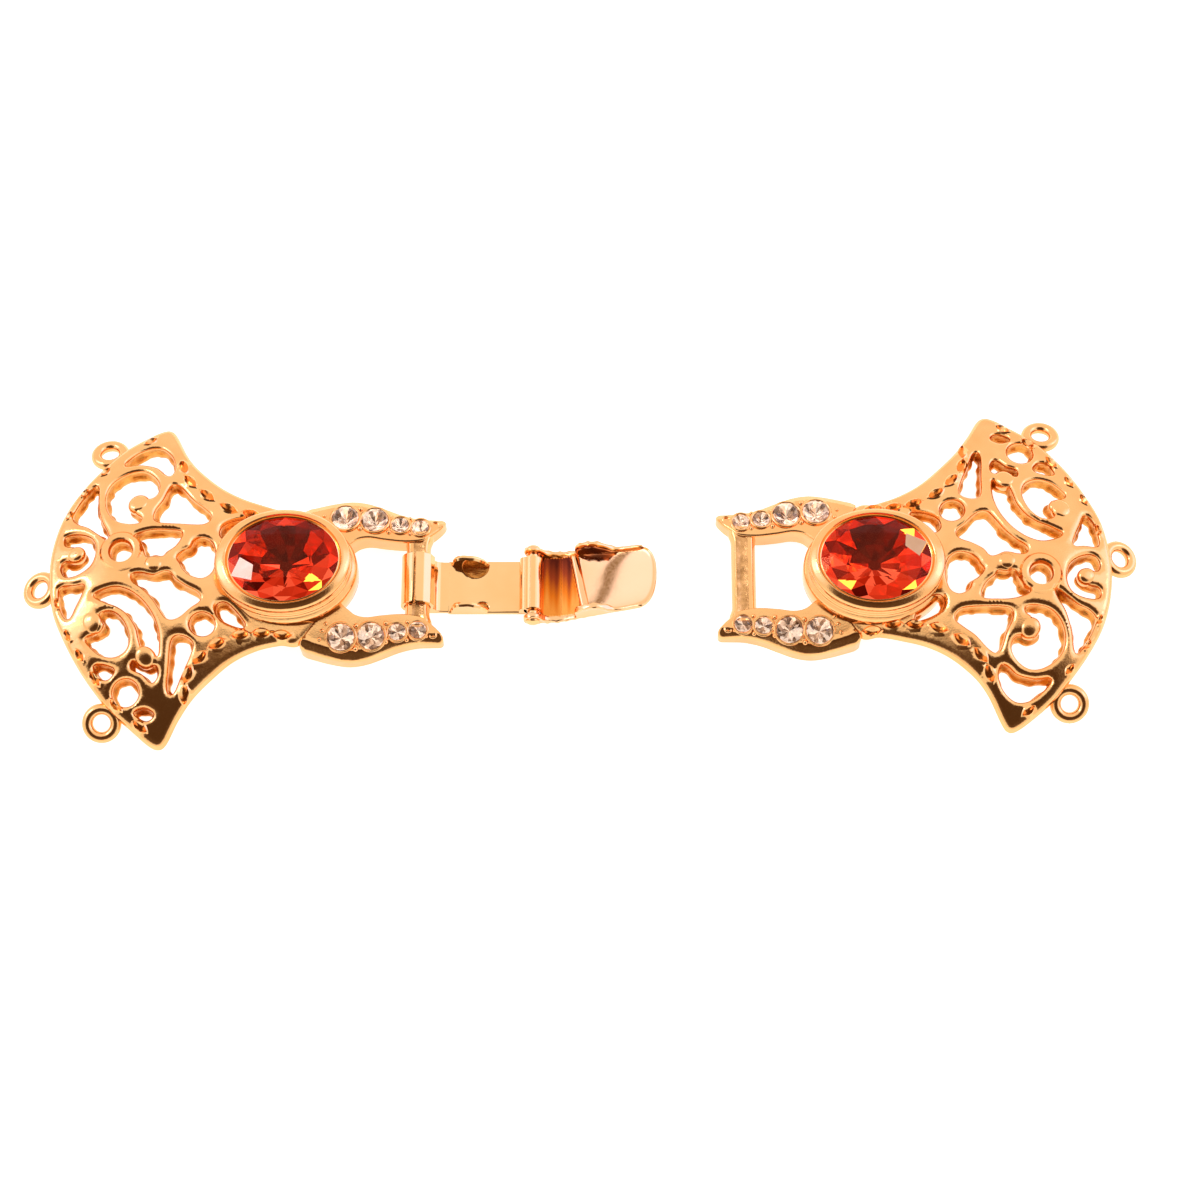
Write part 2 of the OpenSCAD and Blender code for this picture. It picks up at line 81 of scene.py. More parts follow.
# How a plan's free points are spaced: rows and margins as shares of the grid and rings, gaps in millimetres
spacing = {"row": 0.866, "ring": 0.94, "grid": 0.3, "extra": 0.6, "extraGap": 0.12, "creaseGap": 0.09,
           "cell": 0.05}


def blocks(points):
    # the points in parts small enough to be set against every stretch of a line at once
    return np.array_split(points, len(points) // 1500 + 1)


def evenly(loop, step):
    # points an equal distance apart along a closed line
    closed = np.vstack([loop, loop[:1]])
    run = np.concatenate([[0], np.cumsum(np.linalg.norm(np.diff(closed, axis=0), axis=1))])
    along = np.linspace(0, run[-1], max(8, round(run[-1] / step)), endpoint=False)
    return np.stack([np.interp(along, run, closed[:, k]) for k in (0, 1)], axis=1)


def smoothLoop(knots, step=0.16, spanPoints=14):
    # closed curve through the knots: each span is a cubic of its four nearest knots
    p = np.array(knots, float)
    t = np.linspace(0, 1, spanPoints, endpoint=False)[:, None, None]
    a, b, c, d = (np.roll(p, shift, axis=0)[None] for shift in (1, 0, -1, -2))
    q = 0.5 * (2 * b + (c - a) * t + (2 * a - 5 * b + 4 * c - d) * t**2 + (3 * b - a - 3 * c + d) * t**3)
    return evenly(q.transpose(1, 0, 2).reshape(-1, 2), step)


def roundLoop(x, y, r, step=0.16):
    # circle about (x, y)
    turn = np.linspace(0, 2 * math.pi, max(12, round(2 * math.pi * r / step)), endpoint=False)
    return np.stack([x + r * np.cos(turn), y + r * np.sin(turn)], axis=1)


def wound(loop, way):
    # the loop, anticlockwise where way is 1 and clockwise where it is -1
    x, y = loop[:, 0], loop[:, 1]
    area = (x * np.roll(y, -1) - np.roll(x, -1) * y).sum()
    return loop if area * way > 0 else loop[::-1]


def leftOf(loop):
    # unit direction square to the line, to its left, at each point
    t = np.roll(loop, -1, axis=0) - np.roll(loop, 1, axis=0)
    t = t / np.linalg.norm(t, axis=1, keepdims=True)
    return np.stack([-t[:, 1], t[:, 0]], axis=1)


def edgeDistance(points, loops):
    # distance of each point to the nearest stretch of the closed lines
    a = np.vstack(loops)
    d = np.vstack([np.roll(loop, -1, axis=0) for loop in loops]) - a
    size = (d**2).sum(axis=1) + 1e-12
    found = []
    for block in blocks(points):
        p = block[:, None]
        t = np.clip(((p - a) * d).sum(axis=2) / size, 0, 1)[..., None]
        found.append(np.sqrt(((a + t * d - p) ** 2).sum(axis=2).min(axis=1)))
    return np.concatenate(found)


def spotDistance(points, spots):
    # distance of each point to the nearest of the spots
    return np.concatenate([np.sqrt(((block[:, None] - spots[None]) ** 2).sum(axis=2)).min(axis=1)
                           for block in blocks(points)])


def insideOf(points, loops):
    # a point is inside where a ray to its right crosses the closed lines an odd number of times
    a = np.vstack(loops)
    b = np.vstack([np.roll(loop, -1, axis=0) for loop in loops])
    rise = np.where(b[:, 1] == a[:, 1], 1e-12, b[:, 1] - a[:, 1])
    found = []
    for block in blocks(points):
        x, y = block[:, :1], block[:, 1:]
        reached = x < a[:, 0] + (b[:, 0] - a[:, 0]) * (y - a[:, 1]) / rise
        crosses = ((a[:, 1] > y) != (b[:, 1] > y)) & reached
        found.append(crosses.sum(axis=1) % 2 == 1)
    return np.concatenate(found)


def chained(counts, closed):
    # edges between neighbours along each line, and round where it closes
    edges, first = [], 0
    for count, shut in zip(counts, closed):
        edges += [(first + i, first + i + 1) for i in range(count - 1)]
        if shut:
            edges.append((first + count - 1, first))
        first += count
    return edges


def triangulated(points, loops, creases):
    # triangles between all the points, kept where they lie inside the closed lines
    lines = loops + creases
    edges = chained([len(line) for line in lines], [number < len(loops) for number in range(len(lines))])
    made = delaunay_2d_cdt([Vector(p) for p in points], edges, [], 0, 1e-7)
    spots = np.array([tuple(v) for v in made[0]])
    tris = np.array(made[2])
    place = np.empty(len(points), int)
    for new, old in enumerate(made[3]):
        place[old] = new
    tris = tris[insideOf(spots[tris].mean(axis=1), loops)]
    return spots, tris, place


def planOf(outer, holes, rings, grid, creases=(), extra=None):
    # points on the closed lines and creases, in rings inside the lines and on an even grid, and their
    # triangles; extra points take the place of the even grid near them
    loops = [wound(outer, 1)] + [wound(hole, -1) for hole in holes]
    creases = list(creases)
    fixed = np.vstack(loops + creases)
    parts = []
    for k, ring in enumerate(rings):
        inner = np.vstack([(loop + leftOf(loop) * ring)[k % 2 :: 1 + (k > 2)] for loop in loops])
        inner = inner[edgeDistance(inner, loops) > spacing["ring"] * ring]
        parts.append(inner[insideOf(inner, loops)])
    low, high = loops[0].min(axis=0), loops[0].max(axis=0)
    rows = np.arange(low[1], high[1], grid * spacing["row"])
    cols = np.arange(low[0], high[0], grid)
    gx, gy = np.meshgrid(cols, rows)
    gx = gx + (np.arange(len(rows)) % 2)[:, None] * grid / 2
    inner = np.stack([gx.ravel(), gy.ravel()], axis=1)
    margin = rings[-1] + spacing["grid"] * grid
    inner = inner[(edgeDistance(inner, loops) > margin) & insideOf(inner, loops)]
    if extra is not None:
        extra = extra[(edgeDistance(extra, loops) > rings[-1] * spacing["extra"]) & insideOf(extra, loops)]
        inner = inner[spotDistance(inner, extra) > spacing["extraGap"]]
        parts.append(extra)
    free = np.vstack([*parts, inner])
    cell = np.unique(np.round(free / spacing["cell"]).astype(int), axis=0, return_index=True)[1]
    free = free[np.sort(cell)]
    if creases:
        free = free[spotDistance(free, np.vstack(creases)) > spacing["creaseGap"]]
    spots, tris, place = triangulated(np.vstack([fixed, free]), loops, creases)
    depth = edgeDistance(spots, loops)
    return {"points": spots, "tris": tris, "place": place, "loops": loops, "depth": depth}


# Solids, each a pair of vertices and faces


def strip(upper, lower):
    # quads between two closed rows of vertex numbers
    return np.stack([upper, lower, np.roll(lower, -1), np.roll(upper, -1)], axis=1)


def cutSheet(plan, top, bottom, ledge=None, rows=6):
    # a plan given a top and a bottom height over each point, with walls in rows that may step out by the
    # ledge's amount
    points, tris, depth = plan["points"], plan["tris"], plan["depth"]
    n = len(points)
    zTop, zBottom = top(points, depth), bottom(points)
    zBottom = np.minimum(zBottom, zTop - 0.05)
    verts = [np.column_stack([points, zTop]), np.column_stack([points, zBottom])]
    faces = [tris, tris[:, ::-1] + n]
    count = 2 * n
    first = 0
    for number, loop in enumerate(plan["loops"]):
        size = len(loop)
        ring = plan["place"][first : first + size]
        first += size
        outward = -leftOf(loop)
        before = ring
        for row in range(1, rows):
            share = row / rows
            step = ledge(number, loop, share) if ledge else 0
            flat = loop + outward * np.reshape(step, (-1, 1))
            z = zTop[ring] + (zBottom[ring] - zTop[ring]) * share
            verts.append(np.column_stack([flat, z]))
            here = count + np.arange(size)
            faces.append(strip(before, here))
            before = here
            count += size
        faces.append(strip(before, ring + n))
    return np.vstack(verts), faces


def gridOf(x, y, z):
    # a grid of points, from coordinates that each change along one or both of its sides
    return np.stack(np.broadcast_arrays(x, y, z), axis=-1)


def surface(grid, closeU=False, closeV=False):
    # quads over a grid of points, joined round where it closes
    nu, nv = grid.shape[:2]
    number = np.arange(nu * nv).reshape(nu, nv)
    if closeU:
        number = np.vstack([number, number[:1]])
    if closeV:
        number = np.hstack([number, number[:, :1]])
    quads = np.stack([number[:-1, :-1], number[1:, :-1], number[1:, 1:], number[:-1, 1:]], axis=-1)
    return grid.reshape(-1, 3), [quads.reshape(-1, 4)]


def ball(centre, radii, nu=20, nv=12):
    # ellipsoid: its two angles give a point on a sphere, stretched by the three radii
    u = np.linspace(0, 2 * math.pi, nu, endpoint=False)[:, None]
    v = np.linspace(-math.pi / 2, math.pi / 2, nv)[None]
    unit = gridOf(np.cos(u) * np.cos(v), np.sin(u) * np.cos(v), np.sin(v))
    return surface(np.array(centre) + unit * np.array(radii), closeU=True)


def ring(centre, ringR, wireR, leanX=0, leanY=0, nu=40, nv=14):
    # torus: a small circle carried round a large one, leant about x and then y
    u = np.linspace(0, 2 * math.pi, nu, endpoint=False)[:, None]
    v = np.linspace(0, 2 * math.pi, nv, endpoint=False)[None]
    far = ringR + wireR * np.cos(v)
    grid = gridOf(far * np.cos(u), far * np.sin(u), wireR * np.sin(v))
    turn = Matrix.Rotation(math.radians(leanY), 3, "Y") @ Matrix.Rotation(math.radians(leanX), 3, "X")
    return surface(grid @ np.array(turn).T + np.array(centre), closeU=True, closeV=True)


def capped(grid):
    # a closed section carried along a line, with a flat cap at both ends
    verts, faces = surface(grid, closeV=True)
    first = np.arange(grid.shape[1])
    return verts, faces + [first[None, ::-1], (first + (len(grid) - 1) * len(first))[None]]


def extruded(outline, y0, y1, bevel):
    # a closed line in side view (x, z) carried along y, with a small bevel at both ends
    plan = planOf(outline, [], [bevel], 5)
    points, tris, loop = plan["points"], plan["tris"], plan["loops"][0]
    n, size = len(points), len(loop)
    number = plan["place"][:size]
    verts = [np.column_stack([points[:, 0], np.full(n, y), points[:, 1]]) for y in (y0, y1)]
    faces = [tris, tris[:, ::-1] + n]
    drawnIn = loop + leftOf(loop) * bevel * 0.6
    for end, y in zip(verts, (y0, y1)):
        end[number] = np.column_stack([drawnIn[:, 0], np.full(size, y), drawnIn[:, 1]])
    before = number
    inset = math.copysign(bevel, y1 - y0)
    for row, y in enumerate((y0 + inset, (y0 + y1) / 2, y1 - inset)):
        verts.append(np.column_stack([loop[:, 0], np.full(size, y), loop[:, 1]]))
        here = 2 * n + row * size + np.arange(size)
        faces.append(strip(before, here))
        before = here
    faces.append(strip(before, number + n))
    return np.vstack(verts), faces


def joined(solids):
    # several solids as one list of vertices and faces
    verts, faces, count = [], [], 0
    for v, parts in solids:
        verts.append(v)
        faces += [part + count for part in parts]
        count += len(v)
    return np.vstack(verts), faces


def putMesh(name, verts, faces, materials, body, nodes, kinds=None, smooth=35, tints=None,
            paintedShades=None):
    # a mesh in metres: faces turned outwards, smooth but for edges sharper than the given angle; kinds are
    # the faces' materials, tints the foils' painted facet reflections on faces, and the last the cover's
    # painted shade on points
    mesh = bpy.data.meshes.new(name)
    mesh.from_pydata((verts * mm).tolist(), [], [face for part in faces for face in part.tolist()])
    for material in materials:
        mesh.materials.append(material)
    if kinds is not None:
        mesh.polygons.foreach_set("material_index", kinds)
    if tints is not None:
        layer = mesh.attributes.new("tint", "FLOAT", "FACE")
        layer.data.foreach_set("value", tints)
    # painted shade on the points, read by the cover's gold
    if paintedShades is not None:
        layer = mesh.attributes.new("paintedShade", "FLOAT", "POINT")
        layer.data.foreach_set("value", paintedShades)
    work = bmesh.new()
    work.from_mesh(mesh)
    bmesh.ops.remove_doubles(work, verts=work.verts, dist=2e-7)
    bmesh.ops.recalc_face_normals(work, faces=work.faces)
    work.to_mesh(mesh)
    work.free()
    if smooth:
        mesh.shade_smooth()
        mesh.set_sharp_from_angle(angle=math.radians(smooth))
    thing = bpy.data.objects.new(name, mesh)
    bpy.context.scene.collection.objects.link(thing)
    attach(thing, body)
    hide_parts(*nodes)
    print(name, len(mesh.polygons), "faces")


# Materials


def newMaterial(name, fixed):
    # a material whose shader has the given sockets set to one value all over
    material = bpy.data.materials.new(name)
    material.use_nodes = True
    nodes = material.node_tree.nodes
    shader = nodes["Principled BSDF"]
    for socket, value in fixed.items():
        shader.inputs[socket].default_value = value
    return material, nodes, material.node_tree.links, shader.inputs


def noiseOn(nodes, links, scale, detail):
    # noise over Object coordinates: scale is in waves for each metre
    place = nodes.new("ShaderNodeTexCoord")
    noise = nodes.new("ShaderNodeTexNoise")
    noise.inputs["Scale"].default_value = scale
    noise.inputs["Detail"].default_value = detail
    links.new(place.outputs["Object"], noise.inputs["Vector"])
    return noise.outputs["Fac"]


def rampOf(nodes, links, value, stops):
    ramp = nodes.new("ShaderNodeValToRGB")
    links.new(value, ramp.inputs["Fac"])
    while len(ramp.color_ramp.elements) < len(stops):
        ramp.color_ramp.elements.new(0.5)
    for element, (place, colour) in zip(ramp.color_ramp.elements, stops):
        element.position = place
        element.color = (*colour, 1)
    return ramp.outputs["Color"]


def greyOf(nodes, links, value, low, high, full=0.75):
    # a grey, or a roughness, that rises with the noise from low to high
    return rampOf(nodes, links, value, [(0.3, (low,) * 3), (full, (high,) * 3)])


def bumpOf(nodes, links, value, strength, distance, after=None):
    bump = nodes.new("ShaderNodeBump")
    bump.inputs["Strength"].default_value = strength
    bump.inputs["Distance"].default_value = distance
    links.new(value, bump.inputs["Height"])
    if after is not None:
        links.new(after, bump.inputs["Normal"])
    return bump.outputs["Normal"]


def goldMaterial(name, look):
    # plated gold: broad soft waves, a fine grain, and small changes of tone and gloss
    material, nodes, links, sockets = newMaterial(name, {"Metallic": 1})
    waves = noiseOn(nodes, links, look["waveScale"], 2)
    grain = noiseOn(nodes, links, look["grainScale"], 4)
    tone = rampOf(nodes, links, waves, [(0.3, look["deep"]), (0.7, look["light"])])
    links.new(tone, sockets["Base Color"])
    links.new(greyOf(nodes, links, grain, *look["roughness"]), sockets["Roughness"])
    wavy = bumpOf(nodes, links, waves, look["waveDepth"], 0.3 * mm)
    links.new(bumpOf(nodes, links, grain, look["grainDepth"], 0.05 * mm, wavy), sockets["Normal"])
    return material


goldLook = {"deep": (1.0, 0.48, 0.17), "light": (1.0, 0.54, 0.21), "roughness": (0.1, 0.2),
            "waveScale": 420, "waveDepth": 0.1, "grainScale": 7000, "grainDepth": 0.12}
castGold = goldMaterial("castGold", goldLook)
sheetGold = goldMaterial("sheetGold", {
    **goldLook, "deep": (1.0, 0.54, 0.21), "light": (1.0, 0.6, 0.26), "roughness": (0.06, 0.13),
    "waveScale": 250, "waveDepth": 0.05, "grainDepth": 0.05})
# Gold rubbed dull on top of the bars
rubbedGold = goldMaterial("rubbedGold", {
    **goldLook, "deep": (0.5, 0.23, 0.075), "light": (0.98, 0.5, 0.19), "roughness": (0.18, 0.42),
    "waveScale": 1100, "waveDepth": 0.4, "grainDepth": 0.6})
# Gold inside the pattern's gaps: rough as left from the casting, and darker and redder as painted shade
# between the walls
rawShadedLook = {**goldLook, "deep": (0.7, 0.3, 0.05), "light": (0.98, 0.48, 0.11), "roughness": (0.28, 0.5),
           "waveScale": 1500, "waveDepth": 0.45, "grainDepth": 0.5}
rawShadedGold = goldMaterial("rawShadedGold", rawShadedLook)
# Painted shade on the sheets that close the half-moons beside the latch's ears: the same rough gold, deeper
# red
pocketShadeGold = goldMaterial("pocketShadeGold", {**rawShadedLook, "deep": (0.6, 0.2, 0.03), "light": (0.95, 0.4, 0.09)})

# The cover's gold turns deep orange and then maroon where it is painted: painted shade and dark reflection in
# its hollow and on the near wall
coverLook = {"grainScale": 5000, "waveScale": 300, "roughness": (0.06, 0.12), "shadeTones": [
    (0.0, (1.0, 0.56, 0.26)), (0.2, (0.95, 0.35, 0.06)), (0.5, (0.75, 0.16, 0.01)), (0.75, (0.3, 0.04, 0.01)),
    (1.0, (0.09, 0.012, 0.006))]}
coverShadedGold, nodes, links, sockets = newMaterial("coverShadedGold", {"Metallic": 1})
# Painted shade and dark reflection: a point attribute darkens the cover's gold in its hollow and on the near
# wall
paintedShade = nodes.new("ShaderNodeAttribute")
paintedShade.attribute_name = "paintedShade"
links.new(rampOf(nodes, links, paintedShade.outputs["Fac"], coverLook["shadeTones"]), sockets["Base Color"])
grain = noiseOn(nodes, links, coverLook["grainScale"], 3)
links.new(greyOf(nodes, links, grain, *coverLook["roughness"]), sockets["Roughness"])
waves = noiseOn(nodes, links, coverLook["waveScale"], 2)
links.new(bumpOf(nodes, links, waves, 0.05, 0.3 * mm), sockets["Normal"])


def glassMaterial(name, look):
    # clear body of a stone: coloured glass whose gloss changes a little over its facets
    material, nodes, links, sockets = newMaterial(name, {
        "Transmission Weight": 1, "IOR": 1.45, "Specular Tint": (*look["shine"], 1)})
    tone = noiseOn(nodes, links, 600, 2)
    colour = rampOf(nodes, links, tone, [(0.3, look["deep"]), (0.7, look["light"])])
    links.new(colour, sockets["Base Color"])
    links.new(greyOf(nodes, links, tone, 0.0, 0.03, 0.8), sockets["Roughness"])
    return material


def foilWithPaintedFacets(name, stops, glow):
    # mirror foil behind a stone, with painted reflections: each facet has its own painted tint, and the
    # brighter ones glow with painted light, the highest tint a painted flash
    material, nodes, links, sockets = newMaterial(name, {"Metallic": 1, "Emission Strength": 1})
    tint = nodes.new("ShaderNodeAttribute")
    tint.attribute_name = "tint"
    links.new(rampOf(nodes, links, tint.outputs["Fac"], stops), sockets["Base Color"])
    # painted glow: the brighter facets give out light
    links.new(rampOf(nodes, links, tint.outputs["Fac"], glow), sockets["Emission Color"])
    tone = noiseOn(nodes, links, 1500, 2)
    links.new(greyOf(nodes, links, tone, 0.03, 0.12, 0.8), sockets["Roughness"])
    return material


redGlass = glassMaterial("redGlass", {
    "deep": (1.0, 0.5, 0.36), "light": (1.0, 0.56, 0.4), "shine": (1.0, 0.3, 0.15)})
# Painted reflections on the red stone's foil: facet tints from dark to vivid red, and a painted glow up to a
# yellow flash
redFoilPainted = foilWithPaintedFacets(
    "redFoilPainted",
    [(0.0, (0.05, 0.005, 0.002)), (0.2, (0.14, 0.008, 0.003)), (0.5, (0.4, 0.02, 0.005)),
     (0.9, (0.8, 0.1, 0.04))],
    [(0.0, (0.03, 0.002, 0.001)), (0.2, (0.09, 0.003, 0.001)), (0.5, (0.42, 0.02, 0.004)),
     (0.75, (0.8, 0.06, 0.02)), (0.93, (1.1, 0.24, 0.12)), (1.0, (3.0, 1.6, 0.2))])
clearGlass = glassMaterial("clearGlass", {
    "deep": (0.98, 0.9, 0.82), "light": (1.0, 0.94, 0.88), "shine": (1.0, 0.85, 0.7)})
# Painted reflections on the clear stones' foil: facet tints from brown to pale, with a painted glow
clearFoilPainted = foilWithPaintedFacets(
    "clearFoilPainted",
    [(0.0, (0.14, 0.07, 0.04)), (0.5, (0.5, 0.35, 0.25)), (0.9, (0.85, 0.72, 0.6))],
    [(0.0, (0.03, 0.015, 0.008)), (0.5, (0.2, 0.12, 0.075)), (0.95, (0.8, 0.64, 0.52))])
# Painted highlight: one facet made a pale mirror, so that it shows as a bright facet
paintedFacetHighlight, nodes, links, sockets = newMaterial("paintedFacetHighlight", {"Metallic": 1, "Roughness": 0.15})
tone = noiseOn(nodes, links, 900, 2)
links.new(rampOf(nodes, links, tone, [(0.3, (0.66, 0.37, 0.22)), (0.7, (0.72, 0.42, 0.27))]),
          sockets["Base Color"])
print("materials made")

# The pierced casting, drawn with its bar on x = 0 and its strand loops at large x

casting = {"domeR": 34, "thick": 2, "edgeThick": 0.8, "edgeReach": 0.9, "edgeRound": 0.44, "gapWiden": 0.06,
           "patternShift": 0.25, "rings": [0.02, 0.08, 0.17, 0.29, 0.43], "grid": 0.3, "wallRows": 8}
# Height of the plate along its middle line, softened over crestBlur and held level past its ends
crestStep, crestBlur, heldEnds = 0.05, 0.7, 70
crest = np.array([
    [-4, 1.7], [0, 2.2], [7, 2.75], [10, 2.95], [12, 3.45], [15, 4.05], [18, 4.65], [20, 5.1], [22, 5.3],
    [24.5, 5.4], [27, 5.3], [29, 5.05], [31, 4.65], [33, 4.1], [36, 3.1]])
fineX = np.linspace(-6, 40, round(46 / crestStep) + 1)
blur = np.exp(-0.5 * (np.arange(-60, 61) * crestStep / crestBlur) ** 2)
fineZ = np.convolve(np.interp(fineX, crest[:, 0], crest[:, 1]), blur / blur.sum(), "same")
fineZ[:heldEnds], fineZ[-heldEnds:] = fineZ[heldEnds], fineZ[-heldEnds - 1]


def domeTop(x, y):
    # the crest's height at x, less how far a circle across the plate has dropped at y
    return np.interp(x, fineX, fineZ) - casting["domeR"] + np.sqrt(casting["domeR"] ** 2 - y**2)


def placed(points):
    # from the pattern's drawing, seen from the hook half's side, to the casting
    p = np.array(points, float)
    return np.column_stack([p[:, 0], -p[:, 1] - casting["patternShift"]])


def spotOf(x, y):
    # one spot of the pattern's drawing in the casting
    return placed([[x, y]])[0]


def smoothStep(t):
    # rises from 0 to 1, level at both ends
    return t * t * (3 - 2 * t)


fanEdge = [
    [10.1, 5.9], [12, 6.1], [14, 6.6], [16, 7.25], [18, 8.35], [20, 10.1], [21.2, 11.7], [22.3, 13.9],
    [22.9, 14.65], [23.7, 14.6], [25.2, 13.6], [27.1, 12], [29, 9.7], [30.4, 7.7], [31.5, 5.7], [32.2, 3.6],
    [32.6, 1], [32.5, -1.6], [32, -4.2], [31, -6.5], [29.6, -9], [28.2, -11], [26.6, -12.9], [24.9, -14.3],
    [23.3, -15.6], [22.4, -15.9], [21.7, -15.4], [20.7, -13.6], [19.4, -11.7], [17.8, -10], [16, -8.4],
    [14, -7.3], [12, -6.7], [10.1, -6.4], [8, -3], [8, 2.6]]
gapEdges = {
    "corner": [
        [26.6, 10.5], [25.6, 11.7], [24.4, 12.3], [23.4, 12.2], [22.5, 11.3], [22.15, 10.1], [22.4, 9.3],
        [22.9, 9.5], [23.7, 10.2], [25.2, 10.55]],
    "scroll": [
        [27.9, 6.8], [27.65, 8], [26.9, 8.9], [25.8, 9.5], [24.8, 9.55], [23.9, 9], [23.35, 8.1],
        [23.45, 7.15], [24, 6.75], [24.6, 7], [25.3, 7.05], [25.75, 6.5], [25.6, 5.7], [25.1, 5], [24.6, 4.6],
        [24.8, 4.2], [25.7, 4.15], [26.8, 4.5], [27.6, 5.5]],
    "stoneSide": [
        [21.9, 8.15], [21.2, 7.7], [20.2, 6.55], [19.2, 5.75], [18.5, 5], [19.1, 4.25], [21.2, 4.2],
        [23.1, 4.35], [23.3, 5.2], [22.7, 6.4], [22.3, 7.6]],
    "rimSide": [
        [28.95, 8.1], [29.7, 7.3], [30.4, 6.1], [30.75, 5], [30.2, 4.35], [29.3, 3.95], [28.3, 3.2],
        [27.45, 2.6], [27.6, 3.3], [28.25, 4.5], [28.7, 6.2]],
    "wedge": [
        [24.9, 2.85], [23.6, 3.3], [22.2, 3.35], [20.9, 3.15], [21.3, 2], [22.1, 1.3], [22.4, 0.9], [23, 1.0],
        [23.7, 0.85], [24, 1.6], [24.4, 2.4]],
    "tongue": [
        [31.2, 3.05], [30, 3.1], [28.9, 2.6], [28.5, 1.5], [28.8, 0.2], [29.8, -0.6], [30.9, -0.8],
        [31.4, -0.1], [31.2, 0.55], [30.6, 0.45], [29.9, 0.5], [29.5, 1.15], [29.9, 1.8], [30.5, 2.1],
        [31.2, 2.25]],
    "flower": [
        [21, 0.7], [20.5, 1.3], [19.9, 1.7], [19.6, 2.4], [18.9, 2.7], [18.2, 2.3], [17.9, 1.3], [17.9, 0.2],
        [18.2, -0.6], [18.9, -1.05], [19.8, -0.85], [20.4, -0.35], [20.7, 0.2]],
    "longBand": [
        [24.9, -0.95], [24.2, -0.85], [23.6, -1.0], [22.9, -1.05], [22.2, -0.75], [21.7, -0.75],
        [21.2, -1.4], [20.2, -2.05], [19.2, -2.55], [19, -3.2], [19.8, -3.9], [20.5, -4.6], [21.1, -4.95],
        [21.7, -4.9], [22.3, -4.1], [23, -3.1], [23.9, -2.2], [24.8, -1.55]],
    "loopSide": [
        [31.4, -1.9], [30.2, -1.85], [29.3, -1.8], [29.5, -2.6], [30, -3.7], [30.5, -4.7], [31.05, -4.2],
        [31.4, -3]],
    "crescent": [
        [28.2, -2.8], [27.3, -2.3], [26.2, -2.15], [25, -2.6], [23.9, -3.5], [23, -4.8], [22.5, -6.2],
        [22.4, -7.5], [22.5, -8.3], [22.9, -7.85], [23.7, -7.6], [24, -6.9], [24.3, -5.8], [25, -4.7],
        [26, -3.9], [27.2, -3.4]],
    "bead": [
        [24.6, -8.8], [24.6, -9.4], [23.7, -9.8], [22.9, -10.5], [22.45, -9.9], [22.6, -9.2], [23.3, -9.3],
        [24.1, -9]],
    "spiral": [
        [27.6, -4.6], [26.9, -4.35], [26.1, -4.7], [25.4, -5.6], [25.05, -6.8], [25.35, -7.8], [26.3, -8.3],
        [27.4, -8.1], [28.3, -7.4], [28.8, -6.7], [28.2, -6.4], [27.5, -6.2], [27.15, -5.5]],
    "little": [[28, -9.1], [27.1, -9.1], [26.3, -9.5], [26.8, -10.2], [27.5, -10]],
    "leaf": [[24.4, -13.1], [23.6, -12.75], [22.8, -13.2], [23.4, -13.65]],
    "narrow": [
        [21.15, -6.9], [20.4, -6.55], [19.5, -7.1], [19.75, -8.3], [20.4, -9.8], [20.9, -11.1], [21.3, -11.5],
        [21.5, -10.8], [21.35, -9]],
    "bezelFar": [[17.4, 3.1], [17.3, 4], [16.4, 4.6], [15.2, 4.9], [15.2, 4.4], [16.6, 2.9]],
    "bezelNear": [[17.4, -3.6], [17.3, -4.5], [16.4, -5.1], [15.2, -5.4], [15.2, -4.9], [16.6, -3.4]]}
# Round gaps: place in the pattern and radius. The first is the eyelet, with a flat ring raised round it
roundGaps = [[26.05, 1.2, 0.95], [25.2, -11.4, 1.15], [18.65, -5.35, 1.05]]
eyelet = {"inner": 0.95, "innerRun": 0.12, "outer": 1.9, "outerRun": 0.16, "rise": 0.26,
          "circles": np.arange(1.06, 2.3, 0.11)}
# Leaf-shaped dents: place in the pattern, turn and share of the full size
dentPlaces = np.array([
    [21.25, 10.1, 70, 1], [20.5, 8.5, 48, 1], [18.9, 7.1, 38, 1], [16.95, 5.9, 22, 1], [14.95, 5.45, 5, 1],
    [13, 5.3, 0, 1], [11.2, 5.75, 0, 1], [20, -11.6, 95, 1], [19.75, -9.95, -70, 1], [18.75, -8.45, -45, 1],
    [17.3, -7.15, -30, 1], [15.3, -6.25, -12, 1], [13.5, -6, -5, 1], [11.75, -6.05, 0, 1],
    [31.2, 5.2, -68, 0.6], [30, 7.5, -55, 0.6], [28.3, 9.7, -50, 0.7], [24.6, 13.2, -35, 0.8],
    [31.6, -3.4, 70, 0.65], [30.5, -6.4, 65, 0.75], [29.3, -8.2, 58, 0.8], [27.9, -10.3, 52, 0.9],
    [26, -12.5, 45, 0.9], [23.9, -14.3, 35, 0.9]])
dentLook = {"length": 1.66, "width": 0.8, "depth": 0.3, "rim": 0.13, "rimWidth": 0.17}


def dentFrame(number):
    # middle of a dent in the casting, the directions along and across it, and its size
    turn = math.radians(-dentPlaces[number, 2])
    along = np.array([math.cos(turn), math.sin(turn)])
    return spotOf(*dentPlaces[number, :2]), along, np.array([-along[1], along[0]]), dentPlaces[number, 3]


def dentCreases():
    # each dent's rim and the foot of that rim as closed leaf outlines, and the line along its bottom
    share = np.linspace(-1, 1, 13)
    lines = []
    for number in range(len(dentPlaces)):
        middle, along, across, size = dentFrame(number)
        outlines = [np.stack([share[2:-2] * dentLook["length"] * 0.45, 0 * share[2:-2]], axis=1)]
        for grow in (0, dentLook["rimWidth"]):
            u = share * (dentLook["length"] / 2 + grow)
            v = (dentLook["width"] / 2 + grow) * (1 - share**2)
            rim = np.vstack([np.stack([u, v], axis=1), np.stack([u[-2:0:-1], -v[-2:0:-1]], axis=1)])
            outlines.append(np.vstack([rim, rim[:1] + [0.004, 0.004]]))
        lines += [middle + size * (line[:, :1] * along + line[:, 1:] * across) for line in outlines]
    return lines


